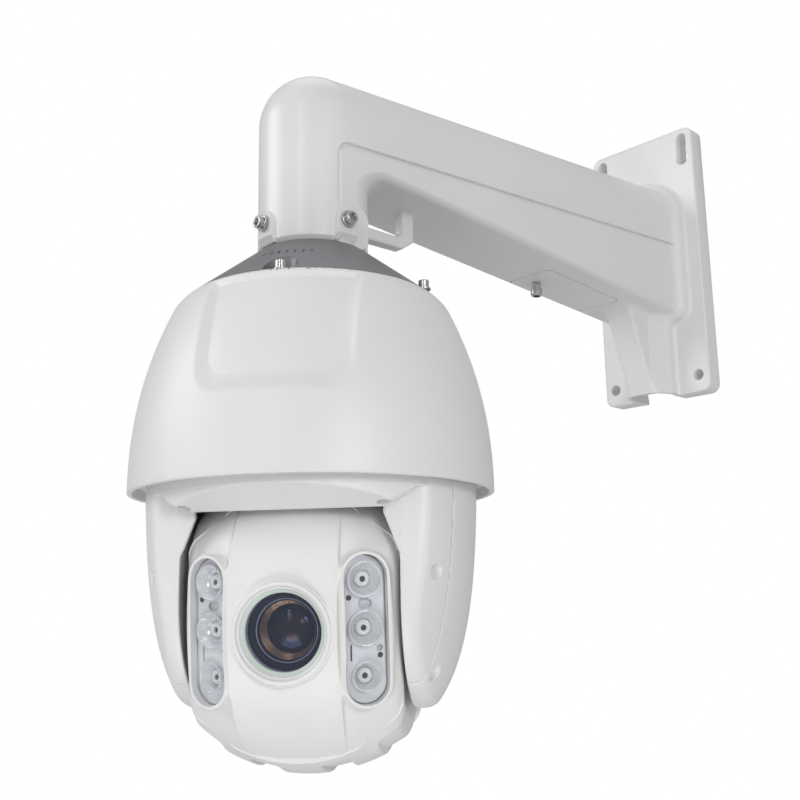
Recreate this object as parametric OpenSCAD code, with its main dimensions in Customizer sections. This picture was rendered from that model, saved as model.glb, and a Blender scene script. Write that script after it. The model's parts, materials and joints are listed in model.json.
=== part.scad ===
// Outdoor speed-dome camera on a cast wall arm.
// The origin is the centre of the wall plate's back face, the wall is the plane y = 0,
// the arm reaches towards -Y and +Z is up.

/* [Wall plate] */
// Width of the wall plate
plate_w = 106; // [104:1:110]
// Height of the wall plate
plate_h = 243; // [240:1:250]
// Depth of the tray-shaped wall plate
plate_t = 17; // [15:0.5:19]
// Corner radius of the wall plate
plate_r = 8; // [5:0.5:10]
// Distance of the bolt holes from the plate's centre line
bolt_x = 42.4; // [41:0.1:43.5]
// Height of the lower bolt holes
bolt_low_z = -106.5; // [-108:0.5:-104]
// Height of the wide lobe of the upper keyholes
key_low_z = 93; // [91:0.5:95]
// Height of the narrow upper end of the keyholes
key_top_z = 112; // [110:0.5:113]
// Radius of the lower bolt holes and of the narrow end of the keyholes
bolt_r = 4.5; // [4:0.1:5]
// Radius of the wide lobe of the keyholes
key_r = 6.5; // [6:0.1:7]

/* [Arm] */
// Distance from the wall to the dome's axis
reach = 408; // [400:1:415]
// Half width of the arm and radius of its round top
arm_r = 35; // [34.5:0.1:36]
// Height of the round top's centre line above the dome's axis
arm_z = 6; // [5:0.5:8]
// Rise of that centre line from the dome's axis to the wall
arm_rise = 33; // [28:0.5:36]
// Height of the arm's underside at the dome's axis
arm_low_z = -24.4; // [-26:0.1:-23]
// Drop of the underside from the dome's axis to the wall
arm_drop = 28.4; // [26:0.1:30]
// Wall thickness of the casting
cast_t = 3.5; // [3:0.1:4]
// Lowest point of the neck
neck_z = -80; // [-81:0.5:-79]
// Height of the three neck screws
neck_screw_z = -66; // [-67:0.5:-64]

/* [Dome] */
// Radius of the shell at its lower rim
skirt_r = 110; // [108:0.5:112]
// Height of the shell's lower rim
skirt_z = -233; // [-235:0.5:-232]
// Height of the shell's upper lip
lip_z = -113.3; // [-114:0.1:-113]
// Radius of the shell's upper lip
lip_r = 77.5; // [77:0.1:78]
// Wall thickness of the shell
shell_t = 3; // [2.5:0.1:3.5]
// Depth of the two recessed panels
recess_d = 3.5; // [3:0.1:4]
// Direction in which the recessed panel faces, from straight ahead towards +X
recess_az = 38; // [30:1:45]
// Number of adapter screws
adapter_screws_n = 4; // [3:1:4]

/* [Pan and tilt] */
// Direction in which the lens points as stored, from straight ahead towards +X
pan_rest = 38; // [30:1:45]
// Angle below the horizon at which the lens points as stored
tilt_rest = 6; // [0:1:10]
// Height of the tilt axis
tilt_z = -305; // [-306:0.5:-304]
// Radius of the turning ring under the shell
ring_r = 98.6; // [98:0.1:99]
// Lowest point of the turning ring
ring_z = -237; // [-238:0.5:-236]
// Distance of a yoke arm's inner face from the middle
yoke_in = 61.5; // [61:0.1:62]
// Half depth of a yoke arm and radius of its round end
yoke_half = 62; // [60:0.5:63]
// Height of the centre of that round end
yoke_end_z = -295; // [-296:0.5:-293]
// Wall thickness of the plastic covers
cover_t = 2.5; // [2:0.1:3]
// Where the front cover of a yoke arm meets the side cover
seam_y = -42; // [-44:0.5:-40]
// Module of the pan gears
gear_m = 1.25; // [1.25]
// Teeth on the pan gear
pan_teeth = 96; // [96]
// Teeth on the pan pinion
pinion_teeth = 16; // [16]

/* [Head] */
// Largest radius of the head around the tilt axis
head_r = 87.5; // [86:0.1:88]
// Half width of the head
head_w = 59.5; // [59:0.1:59.8]
// Where the front shell meets the rear shell, ahead of the tilt axis
split_y = -48; // [-50:0.5:-46]
// Half width of the raised middle of the face
band_w = 30; // [29:0.5:31]
// How far the face stands ahead of the tilt axis
face_y = -75.5; // [-76:0.5:-75]
// Radius of the lens bezel
bezel_r = 26; // [25.5:0.1:26.5]
// Radius of the lens window
window_r = 20.7; // [20:0.1:21]
// Distance of the lamp windows from the middle
lamp_x = 43.7; // [43:0.1:44.5]
// Angle by which the lamp windows turn outwards
lamp_turn = 25; // [22:1:27]
// Radius of the two large reflectors beside the lens
cup_r = 9.6; // [9:0.1:9.8]
// Radius of the small reflector at the foot
cup_small_r = 8; // [7.5:0.1:8.5]

/* [Hidden] */
$fn = 96;
BIG = 600;
white = "#eeeeec";
grey = "#9a9ca0";
steel = "#c8c8c6";
arm_slope = atan(arm_rise / reach);
low_slope = atan(arm_drop / reach);
seam_neck_z = arm_low_z + 11;
seam_rise = 26.5;
// The sunk side panel: its depth, its front edge behind the dome's axis and its end at the wall
panel_d = 1.1;
panel_y = -7.5;
panel_end = -28;
neck_bevel = 2.6;
neck_in_r = arm_r - 4;
neck_screw_az = [-4, 86, 266];
rim_t = 4;
collar_t = 3;
hatch_x = -9;
hatch_w = 42;
hatch_y = 230;
hatch_l = 94;
hatch_t = 1.6;
hatch_screw_y = 246;
hatch_screw_x = -14;
shell_h = lip_z + 2.3 - skirt_z;
shelf_z = lip_z - 4.7;
pocket_at_r = 71;
pocket_z = shelf_z + 5.5;
pocket_az = 36;
pocket_r = 10;
seal_in = 64.5;
seal_out = 67.5;
// How far each captive screw is turned out of its pocket
screw_out = [0, 5.5, 0, 0];
plate_top = -186;
plate_th = 4;
board_z = -142;
board_t = 1.6;
standoff_r = 47;
post_r = 62;
motor_az = -60;
hub_r = 35;
race_out = 31;
race_in = 20;
ball_ring = 25.5;
ball_r = 3;
race_z0 = -198;
race_h = 10;
pan_disc_z = -214;
yoke_t = 3.5;
shaft_top = -172;
gear_z = -206;
gear_h = 6;
motor_x = gear_m * (pan_teeth + pinion_teeth) / 2;
env_half = 250;
env_mid = -125;
env_r = 100;
cover_screw = [[78.7, -52.6, -282], [74.8, -34.5, -336], [96.3, 12, -246]];
pulley_x = 78;
pulley_w = 5;
pulley_r = 18;
motor_pulley_r = 7;
tilt_motor_z = 52;
shaft_r = 8;
barrel_r = 22;
group_r = 18.2;
fit_gap = 0.02;
belt_gap = 0.3;
belt_t = 1.2;

// ---- Frames ----
module at_dome() { translate([0, -reach, 0]) children(); }
module at_pan() { at_dome() rotate([0, 0, pan_rest]) children(); }
module at_tilt() { at_pan() translate([0, 0, tilt_z]) rotate([tilt_rest, 0, 0]) children(); }
module along_x() { rotate([0, 90, 0]) children(); }
// A cylinder that runs towards -Y from the given y
module ahead(y, r, h) { translate([0, y, 0]) rotate([90, 0, 0]) cylinder(r = r, h = h); }
// A frame on a lamp window, with -Y along the window's outward normal
module at_lamp(side) { translate([side * lamp_x, -64.5, 0]) rotate([0, 0, side * lamp_turn]) children(); }

// ---- Wall bracket ----
module slab(x, z, y0, y1) { translate([-x, y0, -z]) cube([2 * x, y1 - y0, 2 * z]); }
// The arm's body, grown on every side by g
module arm_body(g) {
    intersection() {
        union() {
            translate([0, -reach, arm_z]) rotate([arm_slope - 90, 0, 0]) cylinder(r = arm_r + g, h = reach + 20);
            arm_side(arm_r + g, arm_low_z - g, arm_z, arm_drop, arm_rise);
        }
        translate([-100, -reach - 100, -150]) cube([200, reach + 99.9, 300]);
    }
}
module arm_side(half, low, high, drop, rise) {
    rotate([90, 0, 90]) translate([0, 0, -half]) linear_extrude(2 * half)
        polygon([[-reach, low], [0, low - drop], [0, high + rise], [-reach, high]]);
}
module neck_body(r, low) {
    at_dome() translate([0, 0, low]) cylinder(r = r, h = arm_z - low);
    at_dome() translate([0, 0, arm_z]) sphere(r = r);
}
// The foot under the arm that leads the cable down the wall, grown by g
module foot_body(g, low) {
    intersection() {
        translate([0, 0, low]) linear_extrude(90)
            polygon([[-22 - g, 0], [-22 - g, -17], [-12.5 - g, -42], [-12.5 - g, -80],
                [12.5 + g, -80], [12.5 + g, -42], [22 + g, -17], [22 + g, 0]]);
        rotate([90, 0, 90]) translate([0, 0, -30]) linear_extrude(60)
            polygon([[0, low], [-41 - g, low], [-72 - g, -45], [0, -45]]);
    }
}
module keyhole(r_low, r_top) {
    translate([0, key_low_z]) circle(r = r_low);
    translate([0, key_top_z]) circle(r = r_top);
    translate([-r_top, key_low_z]) square([2 * r_top, key_top_z - key_low_z]);
}
module neck_pad(az) {
    at_dome() rotate([0, 0, az]) translate([0, 0, neck_screw_z]) intersection() {
        ahead(-arm_r + 6, 6.5, 9);
        translate([-9, -60, -9]) cube([18, 40, 18]);
    }
}
module safety_eye() {
    rotate([90, 0, 90]) translate([0, 0, -4]) linear_extrude(8)
        polygon([[-reach + 32, -57.5], [-332, -57.5], [-321, -50], [-319, -28], [-328, -28], [-330, -46],
            [-336, -49.5], [-reach + 32, -49.5]]);
}
module on_underside() { translate([0, -reach, arm_low_z]) rotate([-low_slope, 0, 0]) children(); }
// The sunk panel on one side of the arm and neck, below the seam
module panel_sink() {
    rotate([90, 0, 90]) translate([0, 0, arm_r - panel_d]) linear_extrude(20)
        polygon([[-reach + panel_y, neck_z - 1], [panel_end, neck_z - 1],
            [panel_end, seam_neck_z + seam_rise * (1 + panel_end / reach)], [-reach + panel_y, seam_neck_z]]);
}
// The outside of the casting, without its holes
module bracket_outside() {
    rotate([90, 0, 0]) linear_extrude(plate_t) hull() for (x = [-1, 1], z = [-1, 1])
        translate([x * (plate_w / 2 - plate_r), z * (plate_h / 2 - plate_r)]) circle(r = plate_r, $fn = 32);
    difference() {
        union() {
            arm_body(0);
            neck_body(arm_r, neck_z + neck_bevel);
            at_dome() translate([0, 0, neck_z]) cylinder(r1 = arm_r - neck_bevel, r2 = arm_r, h = neck_bevel);
        }
        panel_sink();
        mirror([1, 0, 0]) panel_sink();
    }
    intersection() {
        arm_body(collar_t);
        slab(plate_w, plate_h, -plate_t - 10, -plate_t + 1);
    }
    translate([-arm_r - 0.4, -reach - 3, neck_z + neck_bevel]) cube([2 * arm_r + 0.8, 18, 17]);
    for (az = neck_screw_az) neck_pad(az);
    safety_eye();
    foot_body(0, -plate_h / 2);
}
// The way for the cable, from the neck through the arm to the wall and down the foot
module bracket_hollow() {
    slab(plate_w / 2 - rim_t, plate_h / 2 - rim_t, -plate_t + 5, 1);
    difference() {
        arm_body(-cast_t);
        slab(plate_w, plate_h, -cast_t, 7);
    }
    slab(arm_r - cast_t - 0.5, 40, -plate_t - 3, 1);
    neck_body(neck_in_r, neck_z - 1);
    foot_body(-cast_t, -plate_h / 2 - 1);
    translate([-12, -30, -plate_h / 2 - 5]) cube([24, 31, 70]);
}
// A stiffening collar behind a lower bolt hole
module bolt_collar(x) { translate([x, 0, bolt_low_z]) ahead(0, bolt_r + 3, plate_t - 4.99); }
module wall_bracket() {
    color(white) difference() {
        union() {
            difference() {
                bracket_outside();
                bracket_hollow();
            }
            for (x = [-bolt_x, bolt_x]) bolt_collar(x);
        }
        for (x = [-bolt_x, bolt_x]) {
            translate([x, 1, bolt_low_z]) ahead(0, bolt_r, plate_t + 2);
            translate([x, 1, 0]) rotate([90, 0, 0]) linear_extrude(plate_t + 2) keyhole(key_r, bolt_r);
        }
        for (az = neck_screw_az) at_dome() rotate([0, 0, az]) translate([0, 0, neck_screw_z]) ahead(-28, 3.05, 20);
        on_underside() translate([hatch_x - hatch_w / 2, hatch_y, -2]) cube([hatch_w, hatch_l, 2 + hatch_t]);
        on_underside() translate([hatch_x - hatch_w / 2 + 4, hatch_y + 24, -2]) cube([hatch_w - 8, hatch_l - 28, 12]);
        on_underside() translate([hatch_screw_x, hatch_screw_y, -1]) cylinder(r = 2.05, h = 10);
    }
}
module cable_hatch() {
    color(white) difference() {
        on_underside() translate([hatch_x - hatch_w / 2 + 0.2, hatch_y + 0.2, 0])
            cube([hatch_w - 0.4, hatch_l - 0.4, hatch_t]);
        on_underside() translate([hatch_screw_x, hatch_screw_y, -1]) cylinder(r = 2.1, h = 10);
    }
}
// A socket-head screw with its seat at z = 0 and its head towards -Z
module socket_screw(head_r, head_h, shank_r, shank_l, key) {
    difference() {
        union() {
            translate([0, 0, -head_h]) cylinder(r = head_r, h = head_h);
            cylinder(r = shank_r, h = shank_l);
        }
        translate([0, 0, -head_h - 1]) cylinder(r = key, h = head_h * 0.6 + 1, $fn = 6);
    }
}
module hatch_screw() {
    color(steel) on_underside() translate([hatch_screw_x, hatch_screw_y, -5]) union() {
        socket_screw(3.9, 6, 2, 11, 1.8);
        translate([0, 0, 1]) cylinder(r = 2.6, h = 4);
    }
}
module neck_screws() {
    color(steel) for (az = neck_screw_az) at_dome() rotate([0, 0, az])
        translate([0, -arm_r - 3.1, neck_screw_z]) rotate([-90, 0, 0]) socket_screw(4.5, 4.5, 3, 7, 2.3);
}

// ---- Dome: fixed part ----
// Radius of the shell's outside at height z
function shell_r(z) = skirt_r - 29.5 * pow((z - skirt_z) / shell_h, 2.2);
shell_top = lip_z - 4.7;
shell_steps = 16;
function shell_z(i) = skirt_z + (shell_top - skirt_z) * i / shell_steps;
function shell_line(inset) = [for (i = [0:shell_steps]) [shell_r(shell_z(i)) - inset, shell_z(i)]];
function shell_back(inset) = [for (i = [shell_steps:-1:0]) [shell_r(shell_z(i)) - inset, shell_z(i)]];
module adapter_pocket(i) { rotate([0, 0, pocket_az + i * 360 / adapter_screws_n]) translate([0, -pocket_at_r, 0]) children(); }
module top_adapter() {
    color(grey) at_dome() difference() {
        union() {
            rotate_extrude() polygon([[24, -50], [neck_in_r - 0.1, -50], [neck_in_r - 0.1, neck_z - 0.1],
                [arm_r - 1, neck_z - 0.1], [lip_r - 0.2, lip_z], [lip_r - 0.2, shelf_z], [71, shelf_z],
                [71, shelf_z + 3], [33, neck_z - 4], [24, neck_z - 4]]);
            for (i = [0:adapter_screws_n - 1]) intersection() {
                adapter_pocket(i) translate([0, 0, shelf_z]) cylinder(r = pocket_r + 2.5, h = 24);
                rotate_extrude() polygon([[0, shelf_z], [lip_r - 0.3, shelf_z], [lip_r - 0.3, lip_z],
                    [arm_r - 1, neck_z - 0.3], [0, neck_z - 0.3]]);
            }
        }
        for (i = [0:adapter_screws_n - 1]) adapter_pocket(i) {
            translate([0, 0, pocket_z]) cylinder(r = pocket_r, h = 30);
            translate([0, 0, shelf_z - 1]) cylinder(r = 2.2, h = 20);
        }
    }
}
module adapter_screws() {
    color(steel) at_dome() for (i = [0:adapter_screws_n - 1]) adapter_pocket(i)
        translate([0, 0, pocket_z + screw_out[i]]) mirror([0, 0, 1]) socket_screw(3.3, 6, 2.1, 13, 1.6);
}
module adapter_seal() {
    color("#333333") at_dome() translate([0, 0, shelf_z - 1.5]) difference() {
        cylinder(r = seal_out, h = 1.5);
        translate([0, 0, -1]) cylinder(r = seal_in, h = 4);
    }
}
module recess_window(half, low) {
    for (a = [0, 180]) rotate([0, 0, recess_az + a]) translate([-half, -140, low]) cube([2 * half, 140, shell_top - low]);
}
module dome_shell() {
    color(white) at_dome() difference() {
        union() {
            rotate_extrude() polygon(concat(shell_line(0), [[lip_r, lip_z], [lip_r, shelf_z], [57, shelf_z],
                [57, shelf_z - 3], [shell_r(shell_top) - 8, shelf_z - 3]],
                [for (i = [shell_steps - 1:-1:0]) [shell_r(shell_z(i)) - shell_t, shell_z(i)]]));
            intersection() {
                rotate_extrude() polygon(concat(shell_line(2), shell_back(shell_t + recess_d)));
                recess_window(45, skirt_z + 42);
            }
        }
        intersection() {
            rotate_extrude() polygon(concat(shell_line(recess_d - 30), shell_back(recess_d)));
            recess_window(41.5, skirt_z + 50);
        }
        translate([0, 0, shelf_z - 1.5]) difference() {
            cylinder(r = seal_out, h = 2);
            translate([0, 0, -1]) cylinder(r = seal_in, h = 4);
        }
        for (i = [0:adapter_screws_n - 1]) adapter_pocket(i) translate([0, 0, shelf_z - 6]) cylinder(r = 2.15, h = 10);
    }
}
// A ring with its lower face at z
module ring(z, h, r_out, r_in) {
    translate([0, 0, z]) difference() {
        cylinder(r = r_out, h = h);
        translate([0, 0, -1]) cylinder(r = r_in, h = h + 2);
    }
}
module skirt_ring() { color(white) at_dome() ring(skirt_z + 6, 2.5, skirt_r - shell_t - 0.15, ring_r + 1); }
module support_posts() {
    color(steel) at_dome() for (a = [92, 212, 332]) rotate([0, 0, a]) translate([0, -post_r, plate_top])
        cylinder(r = 4, h = shelf_z - 3 - plate_top);
}
module base_plate() {
    color(grey) at_dome() difference() {
        union() {
            translate([0, 0, plate_top - plate_th]) cylinder(r = 97, h = plate_th);
            translate([0, 0, race_z0]) cylinder(r = hub_r, h = plate_top - race_z0);
        }
        translate([0, 0, race_z0 - 1]) cylinder(r = race_out, h = 20);
        rotate([0, 0, motor_az]) translate([motor_x, 0, plate_top - 10]) cylinder(r = 12.6, h = 20);
    }
}
module main_board() {
    color("#1f5c3a") at_dome() difference() {
        translate([0, 0, board_z]) cylinder(r = 54, h = board_t);
        translate([0, 0, board_z - 1]) cylinder(r = 20, h = 4);
        for (a = [45:90:315]) rotate([0, 0, a]) translate([standoff_r, 0, board_z - 1]) cylinder(r = 1.6, h = 4);
    }
}
module board_parts() {
    color("#2a2a2c") at_dome() {
        translate([-44, -9, board_z + board_t]) cube([18, 18, 2.2]);
        translate([26, -8, board_z + board_t]) cube([16, 16, 1.8]);
        translate([-10, 28, board_z + board_t]) cube([20, 12, 9]);
        for (x = [-12, 0, 12]) translate([x, -34, board_z + board_t]) cylinder(r = 4, h = 11);
    }
}
module board_standoffs() {
    color(steel) at_dome() for (a = [45:90:315]) rotate([0, 0, a]) translate([standoff_r, 0, 0]) union() {
        translate([0, 0, plate_top]) cylinder(r = 2.8, h = board_z - plate_top, $fn = 6);
        translate([0, 0, board_z]) cylinder(r = 1.5, h = 3.6);
    }
}
module slip_ring_stator() {
    color("#303034") at_dome() union() {
        ring(board_z - 26, 26, 14.5, 8.3);
        ring(board_z - 2, 2, 24, 14);
    }
}
module race(z, r_out, r_in) {
    difference() {
        ring(z, race_h, r_out, r_in);
        translate([0, 0, z + race_h / 2]) rotate_extrude() translate([ball_ring, 0]) circle(r = ball_r + 0.1);
    }
}
module pan_bearing_outer() { color(steel) at_dome() race(race_z0, race_out, ball_ring + 1.8); }
module pan_bearing_inner() { color(steel) at_pan() race(race_z0, ball_ring - 1.8, race_in); }
module pan_bearing_balls() {
    color(steel) at_dome() translate([0, 0, race_z0 + race_h / 2]) for (i = [0:15])
        rotate([0, 0, i * 22.5]) translate([ball_ring, 0, 0]) sphere(r = ball_r);
}
// Direction of the pan motor from the dome's axis, seen from above
module at_pan_motor() { at_dome() rotate([0, 0, motor_az]) translate([motor_x, 0, 0]) children(); }
module pan_motor() {
    color("#3a3b3e") at_pan_motor() difference() {
        union() {
            translate([0, 0, plate_top]) cylinder(r = 17, h = 30);
            translate([0, 0, plate_top - plate_th]) cylinder(r = 12.5, h = plate_th);
        }
        translate([0, 0, plate_top - 10]) cylinder(r = 2.55, h = 36);
    }
}
// Involute gear outline: m module, n teeth, slack is the thinning of each tooth in degrees
function inv_pt(rb, t) = [rb * (cos(t) + t * PI / 180 * sin(t)), rb * (sin(t) - t * PI / 180 * cos(t))];
function inv_t(rb, r) = r <= rb ? 0 : sqrt(pow(r / rb, 2) - 1) * 180 / PI;
function turn(p, a) = [p[0] * cos(a) - p[1] * sin(a), p[0] * sin(a) + p[1] * cos(a)];
function flip(p) = [p[0], -p[1]];
function gear_points(m, n, slack) = let(rp = m * n / 2, rb = rp * cos(20), ra = rp + 0.9 * m, rf = rp - 1.2 * m,
    tp = inv_t(rb, rp), ap = atan2(inv_pt(rb, tp)[1], inv_pt(rb, tp)[0]), half = 90 / n - slack + ap, k = 4)
    [for (i = [0:n - 1]) each concat(
        [turn([rf, 0], i * 360 / n - half - 0.02)],
        [for (j = [0:k]) turn(inv_pt(rb, inv_t(rb, ra) * j / k), i * 360 / n - half)],
        [for (j = [k:-1:0]) turn(flip(inv_pt(rb, inv_t(rb, ra) * j / k)), i * 360 / n + half)],
        [turn([rf, 0], i * 360 / n + half + 0.02)])];
module pan_pinion() {
    color(steel) at_pan_motor() rotate([0, 0, 180 / pinion_teeth]) union() {
        translate([0, 0, gear_z]) linear_extrude(gear_h) polygon(gear_points(gear_m, pinion_teeth, 0.9));
        translate([0, 0, gear_z]) cylinder(r = 2.5, h = plate_top + 20 - gear_z);
    }
}

// ---- Pan body ----
// Radius of the turning body's outside at height z
function body_r(z) = env_r * pow(1 - pow((env_mid - z) / env_half, 4), 0.25);
body_steps = 22;
function body_z(i) = ring_z - (ring_z + 368) * i / body_steps;
module body_of_rotation(inset) {
    rotate_extrude() polygon(concat([[0, ring_z]], [for (i = [0:body_steps]) [body_r(body_z(i)) - inset, body_z(i)]],
        [[0, -368]]));
}
// The upright outline of a yoke arm, seen from its side and shrunk by g
module arm_outline(g, top) {
    translate([0, yoke_end_z]) circle(r = yoke_half - g);
    translate([-yoke_half + g, yoke_end_z]) square([2 * (yoke_half - g), top - yoke_end_z]);
}
// The outer part of the turning body on one side, beyond the given inner face and shrunk by g
module arm_block(inner, g, top) {
    intersection() {
        body_of_rotation(g);
        rotate([90, 0, 90]) translate([0, 0, inner]) linear_extrude(120 - inner) arm_outline(g, top);
    }
}
module on_side(side) {
    if (side > 0) children();
    else mirror([1, 0, 0]) children();
}
module arm_skin() {
    difference() {
        arm_block(yoke_in, 0, ring_z + 5);
        arm_block(yoke_in - 5, cover_t, ring_z + 6);
        cover_holes(1.6, -20);
        cover_holes(3.2, 0);
    }
}
// Screw holes of an arm cover, from the given depth outwards
module cover_holes(r, depth) { for (p = cover_screw) translate([p[0] + depth, p[1], p[2]]) along_x() cylinder(r = r, h = 30); }
module front_half(keep) {
    intersection() {
        children();
        translate([-BIG / 2, keep > 0 ? seam_y - BIG : seam_y + 0.2, -BIG]) cube([BIG, BIG, BIG]);
    }
}
module arm_front(side) { color(white) at_pan() front_half(1) on_side(side) arm_skin(); }
module arm_cover(side) { color(white) at_pan() front_half(-1) on_side(side) arm_skin(); }
module left_arm_front() { arm_front(-1); }
module right_arm_front() { arm_front(1); }
module left_arm_cover() { arm_cover(-1); }
module right_arm_cover() { arm_cover(1); }
module arm_cover_screws() {
    color(steel) at_pan() for (side = [-1, 1], p = cover_screw) on_side(side)
        translate([yoke_in + 3.6, p[1], p[2]]) along_x() union() {
            cylinder(r = 1.5, h = p[0] - yoke_in - 3.6);
            translate([0, 0, p[0] - yoke_in - 3.6]) cylinder(r = 2.8, h = 1.2);
        }
}
module yoke_frame() {
    color(grey) at_pan() difference() {
        union() {
            translate([0, 0, pan_disc_z]) cylinder(r = 95, h = 6);
            for (side = [-1, 1]) on_side(side) yoke_arm();
        }
        translate([0, 0, pan_disc_z - 1]) cylinder(r = 15, h = 8);
        translate([-90, 0, tilt_z]) along_x() cylinder(r = 13, h = 180);
    }
}
module yoke_arm() {
    intersection() {
        arm_block(yoke_in + 0.3, cover_t + 0.4, pan_disc_z + 1);
        translate([0, -80, -BIG]) cube([yoke_in + yoke_t, 160, BIG + pan_disc_z + 1]);
    }
    translate([yoke_in + 0.3, -52, ring_z - 3]) cube([yoke_t - 0.3, 104, pan_disc_z - ring_z + 4]);
    translate([yoke_in + 0.3, 0, tilt_z]) along_x() cylinder(r = 16, h = 6.7);
}
// The slanted chin under the turning ring, in front of the yoke arms
module chin() {
    intersection() {
        translate([0, 0, -260]) cylinder(r = ring_r, h = 60);
        rotate([90, 0, 90]) translate([0, 0, -80]) linear_extrude(160)
            polygon([[-64.5, ring_z + 6], [-ring_r, ring_z + 6], [-ring_r, ring_z + 1], [-69.5, ring_z - 11], [-64.5, ring_z - 11]]);
        rotate([90, 0, 0]) linear_extrude(120)
            polygon([[-78, ring_z + 6], [-78, ring_z + 2], [-72, ring_z], [-55, ring_z - 11], [55, ring_z - 11],
                [72, ring_z], [78, ring_z + 2], [78, ring_z + 6]]);
    }
}
module turning_ring() {
    color(white) at_pan() difference() {
        union() {
            ring(ring_z + 0.5, pan_disc_z - ring_z - 0.5, ring_r, 95.2);
            chin();
            rotate([0, 0, 180]) chin();
        }
        translate([-yoke_in + 0.2, 0, tilt_z]) along_x() cylinder(r = 89.6, h = 2 * yoke_in - 0.4);
        for (a = [0, 180], side = [-1, 1]) rotate([0, 0, a]) translate([side * 59.6, -78.6, ring_z - 6]) cylinder(r = 3.2, h = 7);
    }
}
module ring_screws() {
    color(steel) at_pan() for (a = [0, 180], side = [-1, 1]) rotate([0, 0, a])
        translate([side * 59.6, -78.6, ring_z - 1]) difference() {
            cylinder(r = 3, h = 2);
            translate([0, 0, -1]) cylinder(r = 1.2, h = 2, $fn = 6);
        }
}
module pan_shaft() {
    color(steel) at_pan() difference() {
        union() {
            translate([0, 0, pan_disc_z + 6]) cylinder(r = 24, h = 2);
            translate([0, 0, pan_disc_z + 6]) cylinder(r = race_in - fit_gap, h = shaft_top - pan_disc_z - 6);
        }
        translate([0, 0, pan_disc_z]) cylinder(r = 15, h = 60);
    }
}
module pan_gear() {
    color("#d8d4c4") at_dome() rotate([0, 0, motor_az]) difference() {
        translate([0, 0, gear_z]) linear_extrude(gear_h) polygon(gear_points(gear_m, pan_teeth, 0.15));
        translate([0, 0, gear_z - 1]) cylinder(r = race_in + fit_gap, h = gear_h + 2);
    }
}
module slip_ring_rotor() {
    color("#b08d3c") at_pan() {
        translate([0, 0, shaft_top - 6]) cylinder(r = 15 - fit_gap, h = 4);
        translate([0, 0, shaft_top - 2]) cylinder(r = 8, h = 34);
    }
}
module tilt_bearings() {
    color(steel) at_pan() for (side = [-1, 1]) translate([side * (yoke_in + 3.65) - 3.35, 0, tilt_z]) along_x()
        ring(0, 6.7, 13, shaft_r + 0.05);
}
module tilt_motor() {
    color("#3a3b3e") at_pan() translate([yoke_in + 3.6, 0, tilt_z + tilt_motor_z]) along_x() difference() {
        cylinder(r = 12, h = 11);
        translate([0, 0, -1]) cylinder(r = 1.55, h = 13);
    }
}
module motor_pulley() {
    color(steel) at_pan() translate([0, 0, tilt_z + tilt_motor_z]) along_x() {
        translate([0, 0, pulley_x]) cylinder(r = motor_pulley_r, h = pulley_w);
        translate([0, 0, yoke_in + 4]) cylinder(r = 1.5, h = pulley_x - yoke_in - 4);
    }
}
module belt_outline(grow) {
    hull() {
        circle(r = pulley_r + grow);
        translate([tilt_motor_z, 0]) circle(r = motor_pulley_r + grow);
    }
}
module tilt_belt() {
    color("#202020") at_pan() translate([pulley_x + 0.5, 0, tilt_z]) rotate([0, -90, 0]) mirror([0, 0, 1])
        linear_extrude(pulley_w - 1) difference() {
            belt_outline(belt_gap + belt_t);
            belt_outline(belt_gap);
        }
}
module driver_board() {
    color("#1f5c3a") at_pan() union() {
        translate([-78, -30, -292]) cube([1.6, 60, 42]);
        translate([-81, -12, -285]) cube([3, 20, 16]);
        for (y = [-24, 24], z = [-286, -256]) translate([-76.4, y, z]) along_x() cylinder(r = 2.2, h = 76.4 - yoke_in - 3.5);
    }
}

// ---- Head ----
head_steps = 16;
function head_rad(x) = head_r - 0.0055 * x * x;
function head_x(i) = -56 + 112 * i / head_steps;
module head_ball(g) {
    along_x() rotate_extrude() polygon(concat([[0, -head_w + g], [head_rad(56) - 4 - g, -head_w + g]],
        [for (i = [0:head_steps]) [head_rad(head_x(i)) - g, head_x(i) * (head_w - g) / head_w]],
        [[head_rad(56) - 4 - g, head_w - g], [0, head_w - g]]));
}
band_rad = 107;
// The face: a curved band in the middle and a plane that turns back on each side
module face_solid(g) {
    translate([-band_w + g, face_y + band_rad, 0]) along_x() cylinder(r = band_rad - g, h = 2 * band_w - 2 * g);
    for (side = [-1, 1]) intersection() {
        at_lamp(side) translate([-60, band_rad + 0.2, 0]) along_x() cylinder(r = band_rad - g, h = 120);
        translate([side > 0 ? band_w - 1 - g : -head_w - 1, -100, -100]) cube([head_w - band_w + 2 + g, 200, 200]);
    }
}
module lamp_slot(w, h, y0, y1) {
    translate([0, y1, 0]) rotate([90, 0, 0]) linear_extrude(y1 - y0) {
        translate([0, (h - w) / 2]) circle(r = w / 2);
        translate([0, (w - h) / 2]) circle(r = w / 2);
        square([w, h - w], center = true);
    }
}
module head_front_shell() {
    color(white) at_tilt() difference() {
        union() {
            difference() {
                intersection() {
                    head_ball(0);
                    face_solid(0);
                    translate([-100, split_y - 100, -100]) cube([200, 99.9, 200]);
                }
                intersection() {
                    head_ball(cover_t);
                    face_solid(cover_t);
                }
            }
            for (side = [-1, 1]) intersection() {
                at_lamp(side) lamp_slot(28, 83, -1.2, 4);
                head_ball(1);
            }
            ahead(face_y + 4, bezel_r + 2, 4);
        }
        ahead(split_y, bezel_r, 60);
        for (side = [-1, 1]) at_lamp(side) lamp_slot(23.6, 78.6, -4, 8);
    }
}
module head_rear_shell() {
    color(white) at_tilt() difference() {
        intersection() {
            head_ball(0);
            translate([-100, split_y, -100]) cube([200, 200, 200]);
        }
        head_ball(cover_t);
        translate([-80, 0, 0]) along_x() cylinder(r = 15.2, h = 160);
    }
}
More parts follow.
